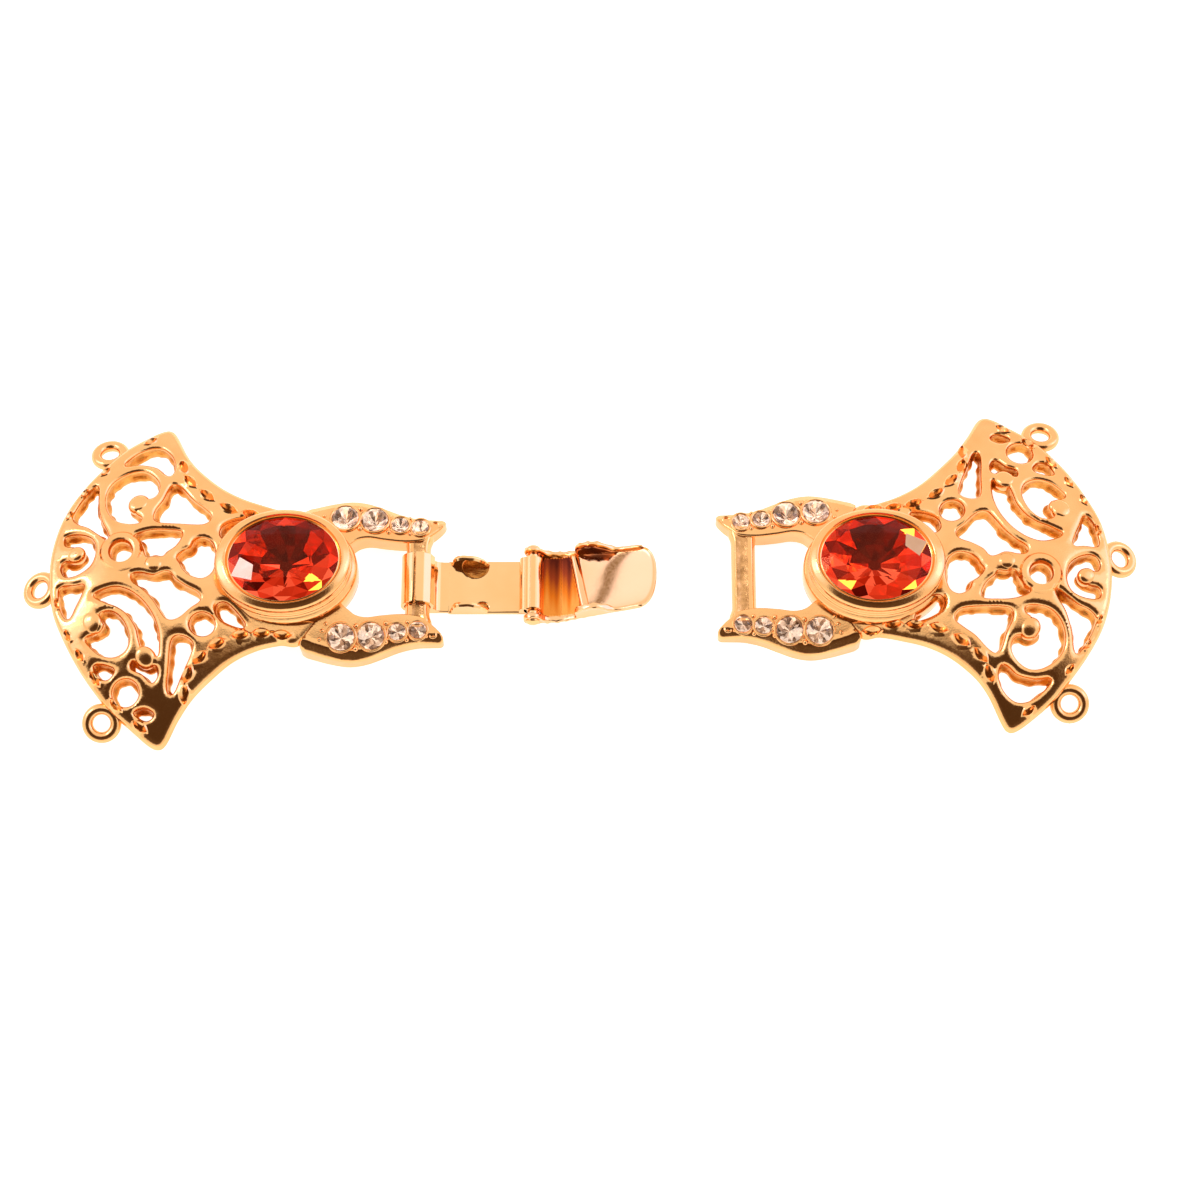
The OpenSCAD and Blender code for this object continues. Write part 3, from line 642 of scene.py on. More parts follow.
def dentRelief(points):
    # depth of a leaf-shaped V groove, with a raised rim round its outline
    total = np.zeros(len(points))
    for number in range(len(dentPlaces)):
        middle, along, across, size = dentFrame(number)
        u, v = (points - middle) @ along / size, (points - middle) @ across / size
        half = dentLook["width"] / 2 * (1 - (2 * u / dentLook["length"]) ** 2)
        reach = np.abs(u) < dentLook["length"] / 2
        inside = np.where(reach, 1 - np.abs(v) / np.maximum(half, 0.02), 0)
        sideways = np.maximum(np.abs(v) - np.maximum(half, 0), 0)
        beyond = np.hypot(sideways, np.maximum(np.abs(u) - dentLook["length"] / 2, 0))
        deep = (dentLook["depth"] + dentLook["rim"]) * np.clip(inside, 0, 1) * np.minimum(1, half / 0.12)
        total -= size * np.where(inside > 0, deep, 0)
        total += size * dentLook["rim"] * np.clip(1 - beyond / dentLook["rimWidth"], 0, 1)
    return total


def roundOver(depth, r):
    # how far a rounded edge of radius r has dropped at a distance from the wall
    d = np.clip(depth, 0, r)
    return r - np.sqrt(np.clip(r**2 - (r - d) ** 2, 0, None))


def fanTop(points, depth):
    # the dome, rounded over at every edge, with the dents, the eyelet's raised ring and the oval stone's room
    z = domeTop(*points.T) - roundOver(depth, casting["edgeRound"]) + dentRelief(points)
    away = np.linalg.norm(points - spotOf(*roundGaps[0][:2]), axis=1)
    inner = np.clip((away - eyelet["inner"]) / eyelet["innerRun"], 0, 1)
    z += eyelet["rise"] * inner * np.clip((eyelet["outer"] - away) / eyelet["outerRun"], 0, 1)
    x, y = (points - [bezel["x"], bezel["y"]]).T
    reachX, reachY = bezel["length"] / 2 + bezel["room"], bezel["width"] / 2 + bezel["room"]
    return np.where(np.hypot(x / reachX, y / reachY) < 1, bezel["floor"], z)


def underside(outer):
    # a set thickness below the dome, thinner along the outer edge, and never below the table
    def height(points):
        inwards = np.clip(edgeDistance(points, [outer]) / casting["edgeReach"], 0, 1)
        thickness = casting["edgeThick"] + (casting["thick"] - casting["edgeThick"]) * inwards
        return np.maximum(0, domeTop(*points.T) - thickness)

    return height


# Where the mould's halves met: the outer wall's bulge, and how the gaps' walls step out
mouldLine = {"bulge": 0.04, "draft": 0.02, "place": 0.45, "sharpness": 30, "step": 0.08, "ragged": 0.24,
             "fallOff": 0.6, "contrast": 0.9, "seed": 100}


def flash(number, loop, share):
    # the outer wall bulges like half a wave; the gaps' walls step out below the middle, raggedly, by a sum of
    # random waves that shrink as they get finer
    if number == 0:
        return np.full(len(loop), mouldLine["bulge"] * math.sin(math.pi * share))
    rng = np.random.default_rng(mouldLine["seed"] + number)
    s = np.linspace(0, 2 * math.pi, len(loop), endpoint=False)
    rough = np.zeros(len(loop))
    for wave in range(3, max(5, len(loop) // 5)):
        rough += rng.normal() * np.sin(wave * s + rng.uniform(0, 6.3)) / wave ** mouldLine["fallOff"]
    rough = 0.5 + 0.5 * np.tanh(rough * mouldLine["contrast"])
    step = 1 / (1 + math.exp(-(share - mouldLine["place"]) * mouldLine["sharpness"]))
    fade = min(1, (1 - share) * 4)
    return mouldLine["draft"] * share + step * fade * (mouldLine["step"] + mouldLine["ragged"] * rough)


def makeFan():
    # the fan's outline with the gaps cut through it, between its domed top and hollow underside
    gapLoops = [wound(smoothLoop(placed(edge)), 1) for edge in gapEdges.values()]
    gapLoops = [evenly(loop - leftOf(loop) * casting["gapWiden"], 0.16) for loop in gapLoops]
    gapLoops += [roundLoop(*spotOf(x, y), r) for x, y, r in roundGaps]
    outer = smoothLoop(placed(fanEdge))
    middle = spotOf(*roundGaps[0][:2])
    rims = np.vstack([roundLoop(*middle, r, 0.13) for r in eyelet["circles"]])
    plan = planOf(outer, gapLoops, casting["rings"], casting["grid"], dentCreases(), rims)
    verts, faces = cutSheet(plan, fanTop, underside(outer), flash, casting["wallRows"])
    # two sheets of triangles, then the rows of wall for each line: the gaps' walls are left as cast, with
    # painted shade
    gapsFrom = 2 + casting["wallRows"]
    kinds = [np.full(len(part), 2 if number >= gapsFrom else 0) for number, part in enumerate(faces)]
    return verts, faces, np.concatenate(kinds)


wing = {"rise": 0.12, "outerDrop": 0.4, "outerRun": 0.85, "trayFrom": 0.75, "trayRun": 0.3, "trayDepth": 0.1,
        "edgeRound": 0.22, "rings": [0.03, 0.1, 0.2, 0.3, 0.44], "grid": 0.22}
# Seats cut for the round stones: depth as a share of the stone's width, and the two circles of its wall
seatCut = {"depth": 0.62, "inner": 0.04, "outer": 0.12}
wingEdge = [
    [10.0, 6.75], [9.2, 7.05], [7.6, 7.5], [6, 7.75], [4.5, 7.55], [3, 7.0], [1.5, 6.4], [0, 6.05], [-1.3, 6],
    [-2.2, 5.95], [-2.4, 5.5], [-2, 4.9], [-1.2, 4.2], [-0.4, 3.65], [1.2, 3.45], [3, 3.6], [4.4, 3.8],
    [5.4, 3.6], [6.2, 3], [7.5, 2.2], [9.0, 4.2], [10.2, 6.2]]
outerStretch = 10  # so many of the wing's knots lie along its outer side


def stonePit(points, side):
    # how far the surface drops into the seat of each round stone
    drop = np.zeros(len(points))
    for x, y, d in wingStones:
        away = np.hypot(points[:, 0] - x, points[:, 1] - side * y)
        wall = (d / 2 + seatCut["outer"] - away) / (seatCut["outer"] - seatCut["inner"])
        drop += seatCut["depth"] * d * np.clip(wall, 0, 1)
    return drop


def wingTop(side):
    # the dome, a little lower between the stones than on the rim along the wing's outer side, beyond which it
    # slopes down
    outer = np.array(wingEdge[:outerStretch]) * [1, side]
    along = np.linspace(0, outerStretch - 1, 120)
    fine = np.column_stack([np.interp(along, range(outerStretch), outer[:, k]) for k in (0, 1)])

    def height(points, depth):
        away = spotDistance(points, fine)
        slope = wing["outerDrop"] * smoothStep(np.clip(1 - away / wing["outerRun"], 0, 1))
        tray = wing["trayDepth"] * smoothStep(np.clip((away - wing["trayFrom"]) / wing["trayRun"], 0, 1))
        z = domeTop(*points.T) + wing["rise"] - roundOver(depth, wing["edgeRound"])
        return z - tray - slope - stonePit(points, side)

    return height


def level(z):
    # a flat underside at the given height
    def height(points):
        return np.full(len(points), float(z))

    return height


def makeWing(side):
    # the wing's outline on the table, under its top; the stones' circles are creases left just open
    circles = [roundLoop(x, side * y, d / 2 + margin, 0.12)
               for x, y, d in wingStones for margin in (seatCut["inner"], seatCut["outer"])]
    creases = [np.vstack([circle, circle[:1] + 0.003]) for circle in circles]
    plan = planOf(smoothLoop(np.array(wingEdge) * [1, side]), [], wing["rings"], wing["grid"], creases)
    return cutSheet(plan, wingTop(side), level(0), None, 5)


# The oval stone's cup: its place and size, the room that the plate leaves round it and at which height, the
# width of its lip, and how wide its steps are along the sides, at the ends and on the fan's side
bezel = {"x": 11.48, "y": -0.28, "length": 9.9, "width": 8.1, "room": 0.3, "floor": 1.5, "lip": 0.15,
         "sides": 0.7, "ends": 0.3, "fanSide": 0.12}
# Section of the bezel: share of the oval, distance out from it, height
bezelSection = np.array([
    [0, 0, 1.1], [0.5, 0, 1.1], [1, 1.3, 1.1], [1, 1.46, 1.5], [1, 1.5, 2.4], [1, 1.5, 3.3], [1, 1.43, 3.55],
    [1, 1.28, 3.74], [1, 1.1, 3.87], [1, 0.96, 3.97], [1, 0.92, 4.1], [1, 1.03, 4.2], [1, 1.1, 4.33],
    [1, 1.08, 4.47], [1, 0.98, 4.58], [1, 0.86, 4.66], [1, 0.82, 4.76], [1, 0.88, 4.9], [1, 0.99, 5.1],
    [1, 1.07, 5.35], [1, 1.09, 5.55], [1, 1.06, 5.72], [1, 0.98, 5.84], [1, 0.85, 5.92], [1, 0.68, 6.0],
    [1, 0.5, 6.08], [1, 0.37, 6.13], [1, 0.28, 6.14], [1, 0.2, 6.09], [1, 0.14, 5.92], [1, 0.1, 5.86],
    [1, 0.04, 5.93], [1, -0.03, 5.96], [1, -0.09, 5.93], [1, -0.09, 5.86], [1, 0.02, 5.78], [1, 0.02, 5.2],
    [1, -0.4, 4.9], [0.9, 0, 1.9], [0.4, 0, 1.8], [0, 0, 1.8]])


def makeBezel():
    # the section carried round the stone's oval and laid square to it, its steps wider at the ends than along
    # the sides, and widest on the fan's side
    u = np.linspace(0, 2 * math.pi, 144, endpoint=False)[:, None]
    a, b = bezel["length"] / 2, bezel["width"] / 2
    square = np.stack([np.cos(u) / a, np.sin(u) / b], axis=-1)
    square = square / np.linalg.norm(square, axis=-1, keepdims=True)
    share, out, z = bezelSection.T
    widen = bezel["sides"] + bezel["ends"] * np.cos(u) ** 2 + bezel["fanSide"] * np.cos(u)
    out = np.where(out > bezel["lip"], bezel["lip"] + (out - bezel["lip"]) * widen, out)
    x = bezel["x"] + share * a * np.cos(u) + out * square[..., 0]
    y = bezel["y"] + share * b * np.sin(u) + out * square[..., 1]
    return surface(gridOf(x, y, z), closeU=True)


# Strand loops: place in the pattern, height of the middle, lean across and along the plate
loopLook = {"ringR": 1.25, "wireR": 0.5}
loopPlaces = [[28.4, 12.2, 1.75, 21, 0], [33.6, -1.3, 2.35, 0, 20], [27.4, -13.7, 1.75, -21, 0]]
# Bulbs on the ends of the scrolls: place in the pattern, radius; and how far they are out of round
bulbPlaces = [[24.9, 6.1, 0.95], [30.2, 1.2, 0.82], [23.1, 0, 0.85], [23.5, -8.4, 0.95], [28.35, -5.3, 1.0]]
bulbUneven = 0.06
# Section of a bulb: share of its radius, height from the dome
bulbSection = np.array([
    [0, 0.15], [0.35, 0.14], [0.6, 0.1], [0.78, 0.03], [0.9, -0.08], [0.98, -0.25], [1.02, -0.5], [1.0, -0.8],
    [0.92, -1.1], [0.5, -1.15], [0, -1.15]])


def makeLoops():
    # three flat wire rings on the outer rim, leaning with the plate
    return [ring((*spotOf(x, y), z), loopLook["ringR"], loopLook["wireR"], leanX, leanY)
            for x, y, z, leanX, leanY in loopPlaces]


def makeBulbs():
    # a flat, round-edged button standing on the dome, its outline a little out of round
    solids = []
    turn = np.linspace(0, 2 * math.pi, 36, endpoint=False)[:, None]
    share, height = bulbSection.T
    for number, (across, up, r) in enumerate(bulbPlaces):
        x, y = spotOf(across, up)
        far = r * share[None] * (1 + bulbUneven * np.sin(2 * turn + number))
        px, py = x + far * np.cos(turn), y + far * np.sin(turn)
        solids.append(surface(gridOf(px, py, domeTop(px, py) + height), closeU=True))
    return solids


# The crossbar: a squared-off bar, flat above and below, with a worn dip along its top and a soft fillet into
# each wing, and the stretch of its top that is rubbed
barLook = {"width": 2.2, "z": 0.95, "half": 0.9, "inWing": 4.6, "even": 4.2, "squareness": 0.75,
           "flats": 1.22, "fillet": 0.22, "filletFrom": 3.0, "filletRun": 0.9, "dipAt": 95, "dipWidth": 16,
           "dip": 0.12, "dipUneven": 0.02, "rubbedX": -0.15, "rubbedHalf": 0.55, "rubbedEnd": 3.6}


def makeBar():
    # section: a squared-off oval with its top and bottom cut flat, carried from wing to wing
    turn = np.linspace(0, 2 * math.pi, 48, endpoint=False)[:, None]
    even = np.linspace(-barLook["even"], barLook["even"], 41)
    y = np.concatenate([[-barLook["inWing"]], even, [barLook["inWing"]]])[None]
    run = np.clip((np.abs(y) - barLook["filletFrom"]) / barLook["filletRun"], 0, 1)
    r = barLook["width"] / 2 * (1 + barLook["fillet"] * run**2)
    x = r * np.sign(np.cos(turn)) * np.abs(np.cos(turn)) ** barLook["squareness"]
    z = barLook["z"] + barLook["half"] * np.clip(barLook["flats"] * np.sin(turn), -1, 1)
    uneven = barLook["dipUneven"] * np.random.default_rng(12).normal(0, 1, y.shape)
    dip = np.exp(-(((np.degrees(turn) - barLook["dipAt"]) / barLook["dipWidth"]) ** 2))
    z = z - dip * (barLook["dip"] + uneven)
    verts, faces = surface(gridOf(x, y, z), closeU=True)
    first = np.arange(len(turn)) * y.shape[1]
    return verts, faces + [first[None, ::-1], (first + y.shape[1] - 1)[None]]


# Round stones along a wing: distance from the bar, height across the plate, diameter
wingStones = [[6.6, 5.75, 2.4], [3.95, 5.6, 2.4], [1.65, 5.15, 1.55], [-0.15, 4.95, 1.55]]
seatLook = {"wall": 0.12, "wire": 0.13, "rise": 0.05}
# Grains of metal between the stones: distance from the bar, height across the plate, radius
grainPlaces = [
    [5.3, 6.75, 0.26], [5.25, 4.7, 0.26], [2.65, 6.05, 0.24], [2.65, 4.4, 0.24], [0.8, 5.85, 0.2],
    [0.75, 4.25, 0.2], [8.25, 5.2, 0.22], [8.5, 5.95, 0.2], [7.95, 4.55, 0.2], [-0.95, 5.5, 0.14]]
# A small hollow bead at each wing's tip: its place, its ring and the knob inside
bead = {"x": -1.5, "y": 5.3, "ringR": 0.3, "wireR": 0.1, "ringSink": 0.02, "knobR": 0.16, "knobHigh": 0.14,
        "knobSink": 0.08}


def makeSeats():
    # a wire ring round each stone, square to the dome, with grains between them and a bead at the tip
    solids = []
    for side in (-1, 1):
        for x, y, d in wingStones:
            lean = math.degrees(-math.asin(side * y / casting["domeR"]))
            z = domeTop(x, side * y) + seatLook["rise"]
            solids.append(ring((x, side * y, z), d / 2 + seatLook["wall"], seatLook["wire"], lean, 0, 48, 10))
        for x, y, r in grainPlaces:
            solids.append(ball((x, side * y, domeTop(x, side * y)), (r, r, 0.9 * r), 12, 8))
        x, y = bead["x"], side * bead["y"]
        z = domeTop(x, y)
        solids.append(ring((x, y, z - bead["ringSink"]), bead["ringR"], bead["wireR"], 0, 0, 24, 8))
        knob = (bead["knobR"], bead["knobR"], bead["knobHigh"])
        solids.append(ball((x, y, z - bead["knobSink"]), knob, 12, 8))
    return solids


def makeCasting():
    # every part of the casting in one mesh; its faces are polished, rubbed on top of the bar, or left as cast
    # with painted shade in the gaps
    fanVerts, fanFaces, fanKinds = makeFan()
    verts, faces = joined([(fanVerts, fanFaces), makeWing(1), makeWing(-1), makeBezel(), *makeLoops(),
                           *makeBulbs(), *makeSeats(), makeBar()])
    kinds = np.zeros(sum(len(part) for part in faces), np.int32)
    kinds[: len(fanKinds)] = fanKinds
    x, y, z = np.vstack([verts[part].mean(axis=1) for part in faces]).T
    onTop = (np.abs(x - barLook["rubbedX"]) < barLook["rubbedHalf"]) & (z > barLook["z"])
    kinds[onTop & (np.abs(y) < barLook["rubbedEnd"])] = 1
    return verts, faces, kinds


castVerts, castFaces, castKinds = makeCasting()
print("casting shaped:", len(castVerts), "points")
for halfName, place in (("hook", toHook), ("catch", toCatch)):
    putMesh(halfName + "Casting", place(castVerts), castFaces, [castGold, rubbedGold, rawShadedGold], "halves",
            [halfName + "_plate"], castKinds)

# Stones: brilliant cut, table, star, kite and girdle facets over a foiled pavilion

# Cuts: points round the girdle, and for each ring from the table down its share of the outline, its height,
# how many points it has and by how much of a step it is turned. The round cut's heights are shares of its
# width
ovalCut = {"z": 5.85, "count": 16, "rings": [
    (0.55, 0.85, 8, 0.5), (0.76, 0.58, 8, 0), (1, 0.06, 16, 0), (1, -0.06, 16, 0), (0.8, -0.75, 16, 0.5),
    (0.45, -2.1, 16, 0), (0.12, -3.0, 8, 0.5)]}
roundCut = {"raise": 0.04, "count": 16, "rings": [
    (0.5, 0.18, 8, 0.5), (0.74, 0.12, 8, 0), (1, 0.02, 16, 0), (1, -0.02, 16, 0), (0.8, -0.1, 16, 0.5),
    (0.45, -0.27, 16, 0), (0.05, -0.42, 8, 0.5)]}
highlightKite = 9  # this facet, the first kite, follows the table and the eight stars; it carries the painted highlight


def facets(*corners):
    # one facet for each place along the given rings of corners
    return np.stack(corners, axis=1)


def cutStone(cut, length, width, deep, tintOf):
    # rings of points on ovals at set heights; facets join each ring to the next, half a step apart
    parts, rows = [], []
    for share, z, count, shift in cut["rings"]:
        turn = (np.arange(count) + shift) * 2 * math.pi / count
        rows.append(np.arange(count) + sum(len(part) for part in parts))
        parts.append(np.column_stack([share * length / 2 * np.cos(turn), share * width / 2 * np.sin(turn),
                                      np.full(count, z * deep)]))
    table, star, upper, lower, low, inner, culet = rows
    on, n = np.arange(8), cut["count"]
    after, behind = (on + 1) % 8, (2 * on + 2) % n
    nextOn = (np.arange(n) + 1) % n
    lowBefore = np.roll(low, 1)
    glass = [table[None], facets(table, star[after], table[after]),
             facets(table, star, upper[2 * on + 1], star[after]),
             facets(star, upper[(2 * on - 1) % n], upper[2 * on]),
             facets(star, upper[2 * on], upper[2 * on + 1])]
    foil = [facets(upper, lower, lower[nextOn], upper[nextOn]), facets(lower, low, lower[nextOn]),
            facets(lower, lowBefore, low), facets(lowBefore, inner, low), facets(low, inner, inner[nextOn]),
            facets(inner[2 * on], culet, inner[2 * on + 1]),
            facets(inner[2 * on + 1], culet, inner[behind]),
            facets(culet, culet[after], inner[behind]), culet[None, ::-1]]
    verts = np.vstack(parts)
    glassCount = sum(len(part) for part in glass)
    middles = np.vstack([verts[part].mean(axis=1) for part in foil])
    x, y = middles[:, 0] / length * 2, middles[:, 1] / width * 2
    tints = np.concatenate([np.zeros(glassCount), tintOf(x, y)])
    kinds = (np.arange(len(tints)) >= glassCount).astype(np.int32)
    return verts, glass + foil, kinds, tints


# Painted reflections in the foil: tones of its facets, from 0 for dark to 1 for a painted flash: the oval
# stone's dark middle, its dim and vivid facets and what the lit side changes, and the round stone's bright
# and dark wedges
ovalTones = {"darkHalf": 0.4, "dark": (0, 0.12), "dim": (0.08, 0.34), "vivid": (0.42, 0.84), "dimShare": 0.42,
             "fewerLit": 0.22, "brighterLit": 0.12}
roundTones = {"wedges": 16, "bright": 0.85, "dark": 0.3, "uneven": 0.22}
topTone = 0.94  # the highest tone short of a flash


def ovalTint(look):
    # painted reflection and light: deep maroon round the given middle, vivid towards the girdle and livelier
    # on the lit viewer's side, with a small painted yellow flash at each given place
    def tintOf(x, y):
        rng = np.random.default_rng(look["seed"])
        n = len(x)
        lit = -y * look["up"]
        isDim = rng.uniform(0, 1, n) < ovalTones["dimShare"] - ovalTones["fewerLit"] * lit
        dim = rng.uniform(*ovalTones["dim"], n)
        vivid = rng.uniform(*ovalTones["vivid"], n) + ovalTones["brighterLit"] * lit
        away = np.hypot(x - look["dark"][0], y - look["dark"][1])
        lively = np.clip(np.where(isDim, dim, vivid), 0, topTone)
        tone = np.where(away < ovalTones["darkHalf"], rng.uniform(*ovalTones["dark"], n), lively)
        for flashX, flashY in look["flashes"]:
            tone[np.argmin(np.hypot(x - flashX, y - flashY))] = 1
        return tone

    return tintOf


def roundTint(seed):
    # painted reflections: bright and dark wedges in a random order, like a star
    def tintOf(x, y):
        rng = np.random.default_rng(seed)
        n = roundTones["wedges"]
        wedge = np.floor((np.arctan2(y, x) / (2 * math.pi) + 0.5) * n).astype(int) % n
        tone = np.where(rng.permutation(n) % 2 == 1, roundTones["bright"], roundTones["dark"])[wedge]
        return np.clip(tone + rng.normal(0, roundTones["uneven"], len(x)), 0, topTone)

    return tintOf


# Each oval stone: seed, which way along y lies away from the viewer, the painted dark middle and the painted
# flashes
ovalLooks = {
    "hook": {"seed": 5, "up": -1, "dark": (-0.03, -0.36), "flashes": [(-0.42, 0.3), (-0.5, 0.62)]},
    "catch": {"seed": 9, "up": 1, "dark": (0.0, 0.36),
              "flashes": [(0.54, 0.66), (0.72, 0.35), (-0.5, -0.5), (0.6, -0.55)]}}
for halfName, place in (("hook", toHook), ("catch", toCatch)):
    look = ovalLooks[halfName]
    verts, faces, kinds, tints = cutStone(ovalCut, bezel["length"], bezel["width"], 1, ovalTint(look))
    # the first kite is given the painted highlight
    kinds[highlightKite] = 2
    verts = place(verts + np.array([bezel["x"], bezel["y"], ovalCut["z"]]))
    putMesh(halfName + "OvalStone", verts, faces, [redGlass, redFoilPainted, paintedFacetHighlight], "halves",
            [halfName + "_oval_stone"], kinds, 0, tints)
    for number in range(8):
        side = 1 if number > 3 else -1
        x, y, d = wingStones[number % 4]
        verts, faces, kinds, tints = cutStone(roundCut, d, d, d, roundTint(20 + number + look["seed"]))
        lean = Matrix.Rotation(-math.asin(side * y / casting["domeR"]), 3, "X")
        verts = (verts + [0, 0, roundCut["raise"] * d]) @ np.array(lean).T
        verts = verts + np.array([x, side * y, domeTop(x, side * y)])
        putMesh(f"{halfName}RoundStone{number + 1}", place(verts), faces, [clearGlass, clearFoilPainted], "halves",
                [f"{halfName}_round_stone_{number + 1}"], kinds, 0, tints)
print("stones set")

# The latch: a sheet rolled round the bar, a flat leaf with two bent-up ears, and a rolled hinge

latch = {"sheet": 0.4, "knuckleR": 1.5, "knuckleBore": 1.15, "knuckleHalf": 2.4, "leafHalf": 2.5,
         "leafFrom": 2.6, "leafTo": 10.2, "tubeR": 0.85, "tubeBore": 0.52, "tubeHalf": 2.5, "earY": 2.1,
         "earThick": 0.46, "earRound": 0.19, "earWave": 0.015, "shadeSheetZ": 0.08, "shadeSheetRise": 0.12}
# The half-moons that the ears were raised from, each beside its ear: middle along the leaf and radius
moons = {-1: (5.75, 0.6), 1: (5.1, 1.2)}
# Where the leaf's surface sags under the closed cover's foot, how far, and over which lengths
sagLook = {"x": 6.6, "y": 1.9, "deep": 0.03, "runX": 1.2, "runY": 0.7}


def arc(x, z, r, start, end, count):
    # points on a circle from one angle to another, in degrees
    turn = np.radians(np.linspace(start, end, count))
    return np.stack([x + r * np.cos(turn), z + r * np.sin(turn)], axis=1)


def moonLoop(side, grow, shift, spacing):
    # outline of a half-moon, grown by some and shifted outwards, with its straight side on the ear
    x, r = moons[side]
    moon = arc(x, 0, r + grow, 180, 360, 24) * [1, side] + [0, side * (latch["earY"] + shift)]
    return evenly(moon, spacing)


def makeKnuckle():
    # section: round the bar from its seam, off into the strip, back under it and round inside
    z = latchPlace["barZ"]
    outer = arc(0, z, latch["knuckleR"], 95, -22, 5)
    strip = [[1.5, 0.78], [1.68, 0.6], [1.95, 0.48], [2.3, 0.42], [2.8, 0.4], [2.8, 0.02], [1.4, 0.01],
             [0.6, 0.03]]
    under = arc(0, z, latch["knuckleR"], -80, -257, 60)
    inner = arc(0, z, latch["knuckleBore"], -257, 95, 90)
    loop = evenly(np.vstack([outer, strip, under, inner]), 0.09)
    return extruded(loop, -latch["knuckleHalf"], latch["knuckleHalf"], 0.06)


def makeTube():
    # section: up from the leaf, over the pin, and round to a seam on the leaf's side
    x, z, r = latchPlace["hingeX"], latchPlace["hingeZ"], latch["tubeR"]
    loop = np.vstack([arc(x, z, r, 142, -90, 50), [[x - 0.6, 0.03]], arc(x, z, r, -115, -206, 20),
                      arc(x, z, latch["tubeBore"], -206, 142, 60)])
    return extruded(evenly(loop, 0.07), -latch["tubeHalf"], latch["tubeHalf"], 0.05)


# The rolled end's lap, measured back from the pin's middle, and how far its foot is torn
seam = {"x": 0.55, "drop": 0.05, "r": 0.68, "footX": 1.25, "backX": 0.6, "footZ": 0.3, "torn": 0.05,
        "tornBelow": 0.95, "tornRun": 0.4, "seed": 41}


def makeSeam():
    # the rolled end laps the tube on the leaf's side, a little lower than it, and is torn along its foot
    y = np.linspace(-latch["tubeHalf"], latch["tubeHalf"], 70)[:, None]
    pinX = latchPlace["hingeX"]
    lap = arc(pinX - seam["x"], latchPlace["hingeZ"] - seam["drop"], seam["r"], 50, 200, 12)
    foot = [[pinX - seam["footX"], seam["footZ"]], [pinX - seam["backX"], seam["footZ"]]]
    section = np.vstack([lap, foot])
    low = np.clip((seam["tornBelow"] - section[:, 1]) / seam["tornRun"], 0, 1) * (section[:, 0] < pinX - 1)
    torn = np.random.default_rng(seam["seed"]).normal(0, seam["torn"], y.shape) * low[None]
    x, z = (part[None] + torn for part in section.T)
    return capped(gridOf(x, y, z))


def leafTop(points, depth):
    # the sheet's top, rounded over at its edges, with a shallow bell-shaped sag on each side
    x, y = points.T
    sagX, sagY = (x - sagLook["x"]) / sagLook["runX"], (np.abs(y) - sagLook["y"]) / sagLook["runY"]
    return latch["sheet"] - roundOver(depth, 0.08) - sagLook["deep"] * np.exp(-(sagX**2 + sagY**2))


def makeLeafSheet():
    # flat sheet, its corners cut off at the knuckle, with a half-moon through it beside each ear
    half, start, end = latch["leafHalf"], latch["leafFrom"], latch["leafTo"]
    outer = np.array([[start, -half + 0.1], [start + 0.2, -half], [end, -half], [end, half],
                      [start + 0.2, half], [start, half - 0.1]])
    holes = [moonLoop(side, 0, 0, 0.1) for side in (-1, 1)]
    return cutSheet(planOf(evenly(outer, 0.12), holes, [0.02, 0.07], 0.35), leafTop, level(0.02), None, 4)


# Outline of an ear in side view
earEdge = [
    [3.1, 0.1], [3.02, 0.9], [3.2, 1.55], [3.75, 1.88], [4.5, 1.92], [5.2, 1.7], [5.75, 1.25], [6.1, 0.7],
    [6.15, 0.1]]


def makeEar(side):
    # standing tab: its outline carried through the sheet's thickness, a little wavy towards its top
    y = side * (latch["earY"] - 0.08)
    verts, faces = extruded(smoothLoop(earEdge, 0.1), y, y + side * latch["earThick"], latch["earRound"])
    verts[:, 1] += side * latch["earWave"] * np.sin(verts[:, 0] * 5.2) * np.clip(verts[:, 2] - 0.8, 0, 1)
    return verts, faces


def makeShadeSheet(side):
    # painted shade: a thin sheet that closes the half-moon near its bottom, rising away from the ear, stands
    # in for the shaded table seen through it
    def slope(points, depth):
        away = np.clip((latch["earY"] - np.abs(points[:, 1])) / moons[side][1], 0, 1)
        return latch["shadeSheetZ"] + latch["shadeSheetRise"] * away

    return cutSheet(planOf(moonLoop(side, 0.1, 0.05, 0.12), [], [0.05], 0.3), slope, level(0.03), None, 2)


ears = [makeEar(side) for side in (1, -1)]
shadeSheets = [makeShadeSheet(side) for side in (1, -1)]
verts, faces = joined([makeKnuckle(), makeTube(), makeSeam(), makeLeafSheet(), *ears, *shadeSheets])
shadeSheetCount = sum(len(part) for pocket in shadeSheets for part in pocket[1])
kinds = np.zeros(sum(len(part) for part in faces), np.int32)
# the sheets in the half-moons get the painted shade
kinds[-shadeSheetCount:] = 1
putMesh("baseLeaf", toLatch(verts), faces, [sheetGold, pocketShadeGold], "leaf", ["base_leaf"],
        kinds, 30)

# The pin: a bevelled rod with a domed head at each end
pin = {"r": 0.47, "half": 3.4, "bevel": 0.12, "headY": 3.52, "headSize": (0.62, 0.3, 0.62)}
pinLoop = evenly(arc(latchPlace["hingeX"], latchPlace["hingeZ"], pin["r"], 0, 360, 33)[:-1], 0.09)
heads = [ball((latchPlace["hingeX"], side * pin["headY"], latchPlace["hingeZ"]), pin["headSize"], 28, 14)
         for side in (-1, 1)]
verts, faces = joined([extruded(pinLoop, -pin["half"], pin["half"], pin["bevel"]), *heads])
putMesh("hingePin", toLatch(verts), faces, [sheetGold], "cover", ["hinge_pin"], None, 30)

# The cover, drawn closed: a roof with a wall down each side, round lobes on the pin and a lip at the tip

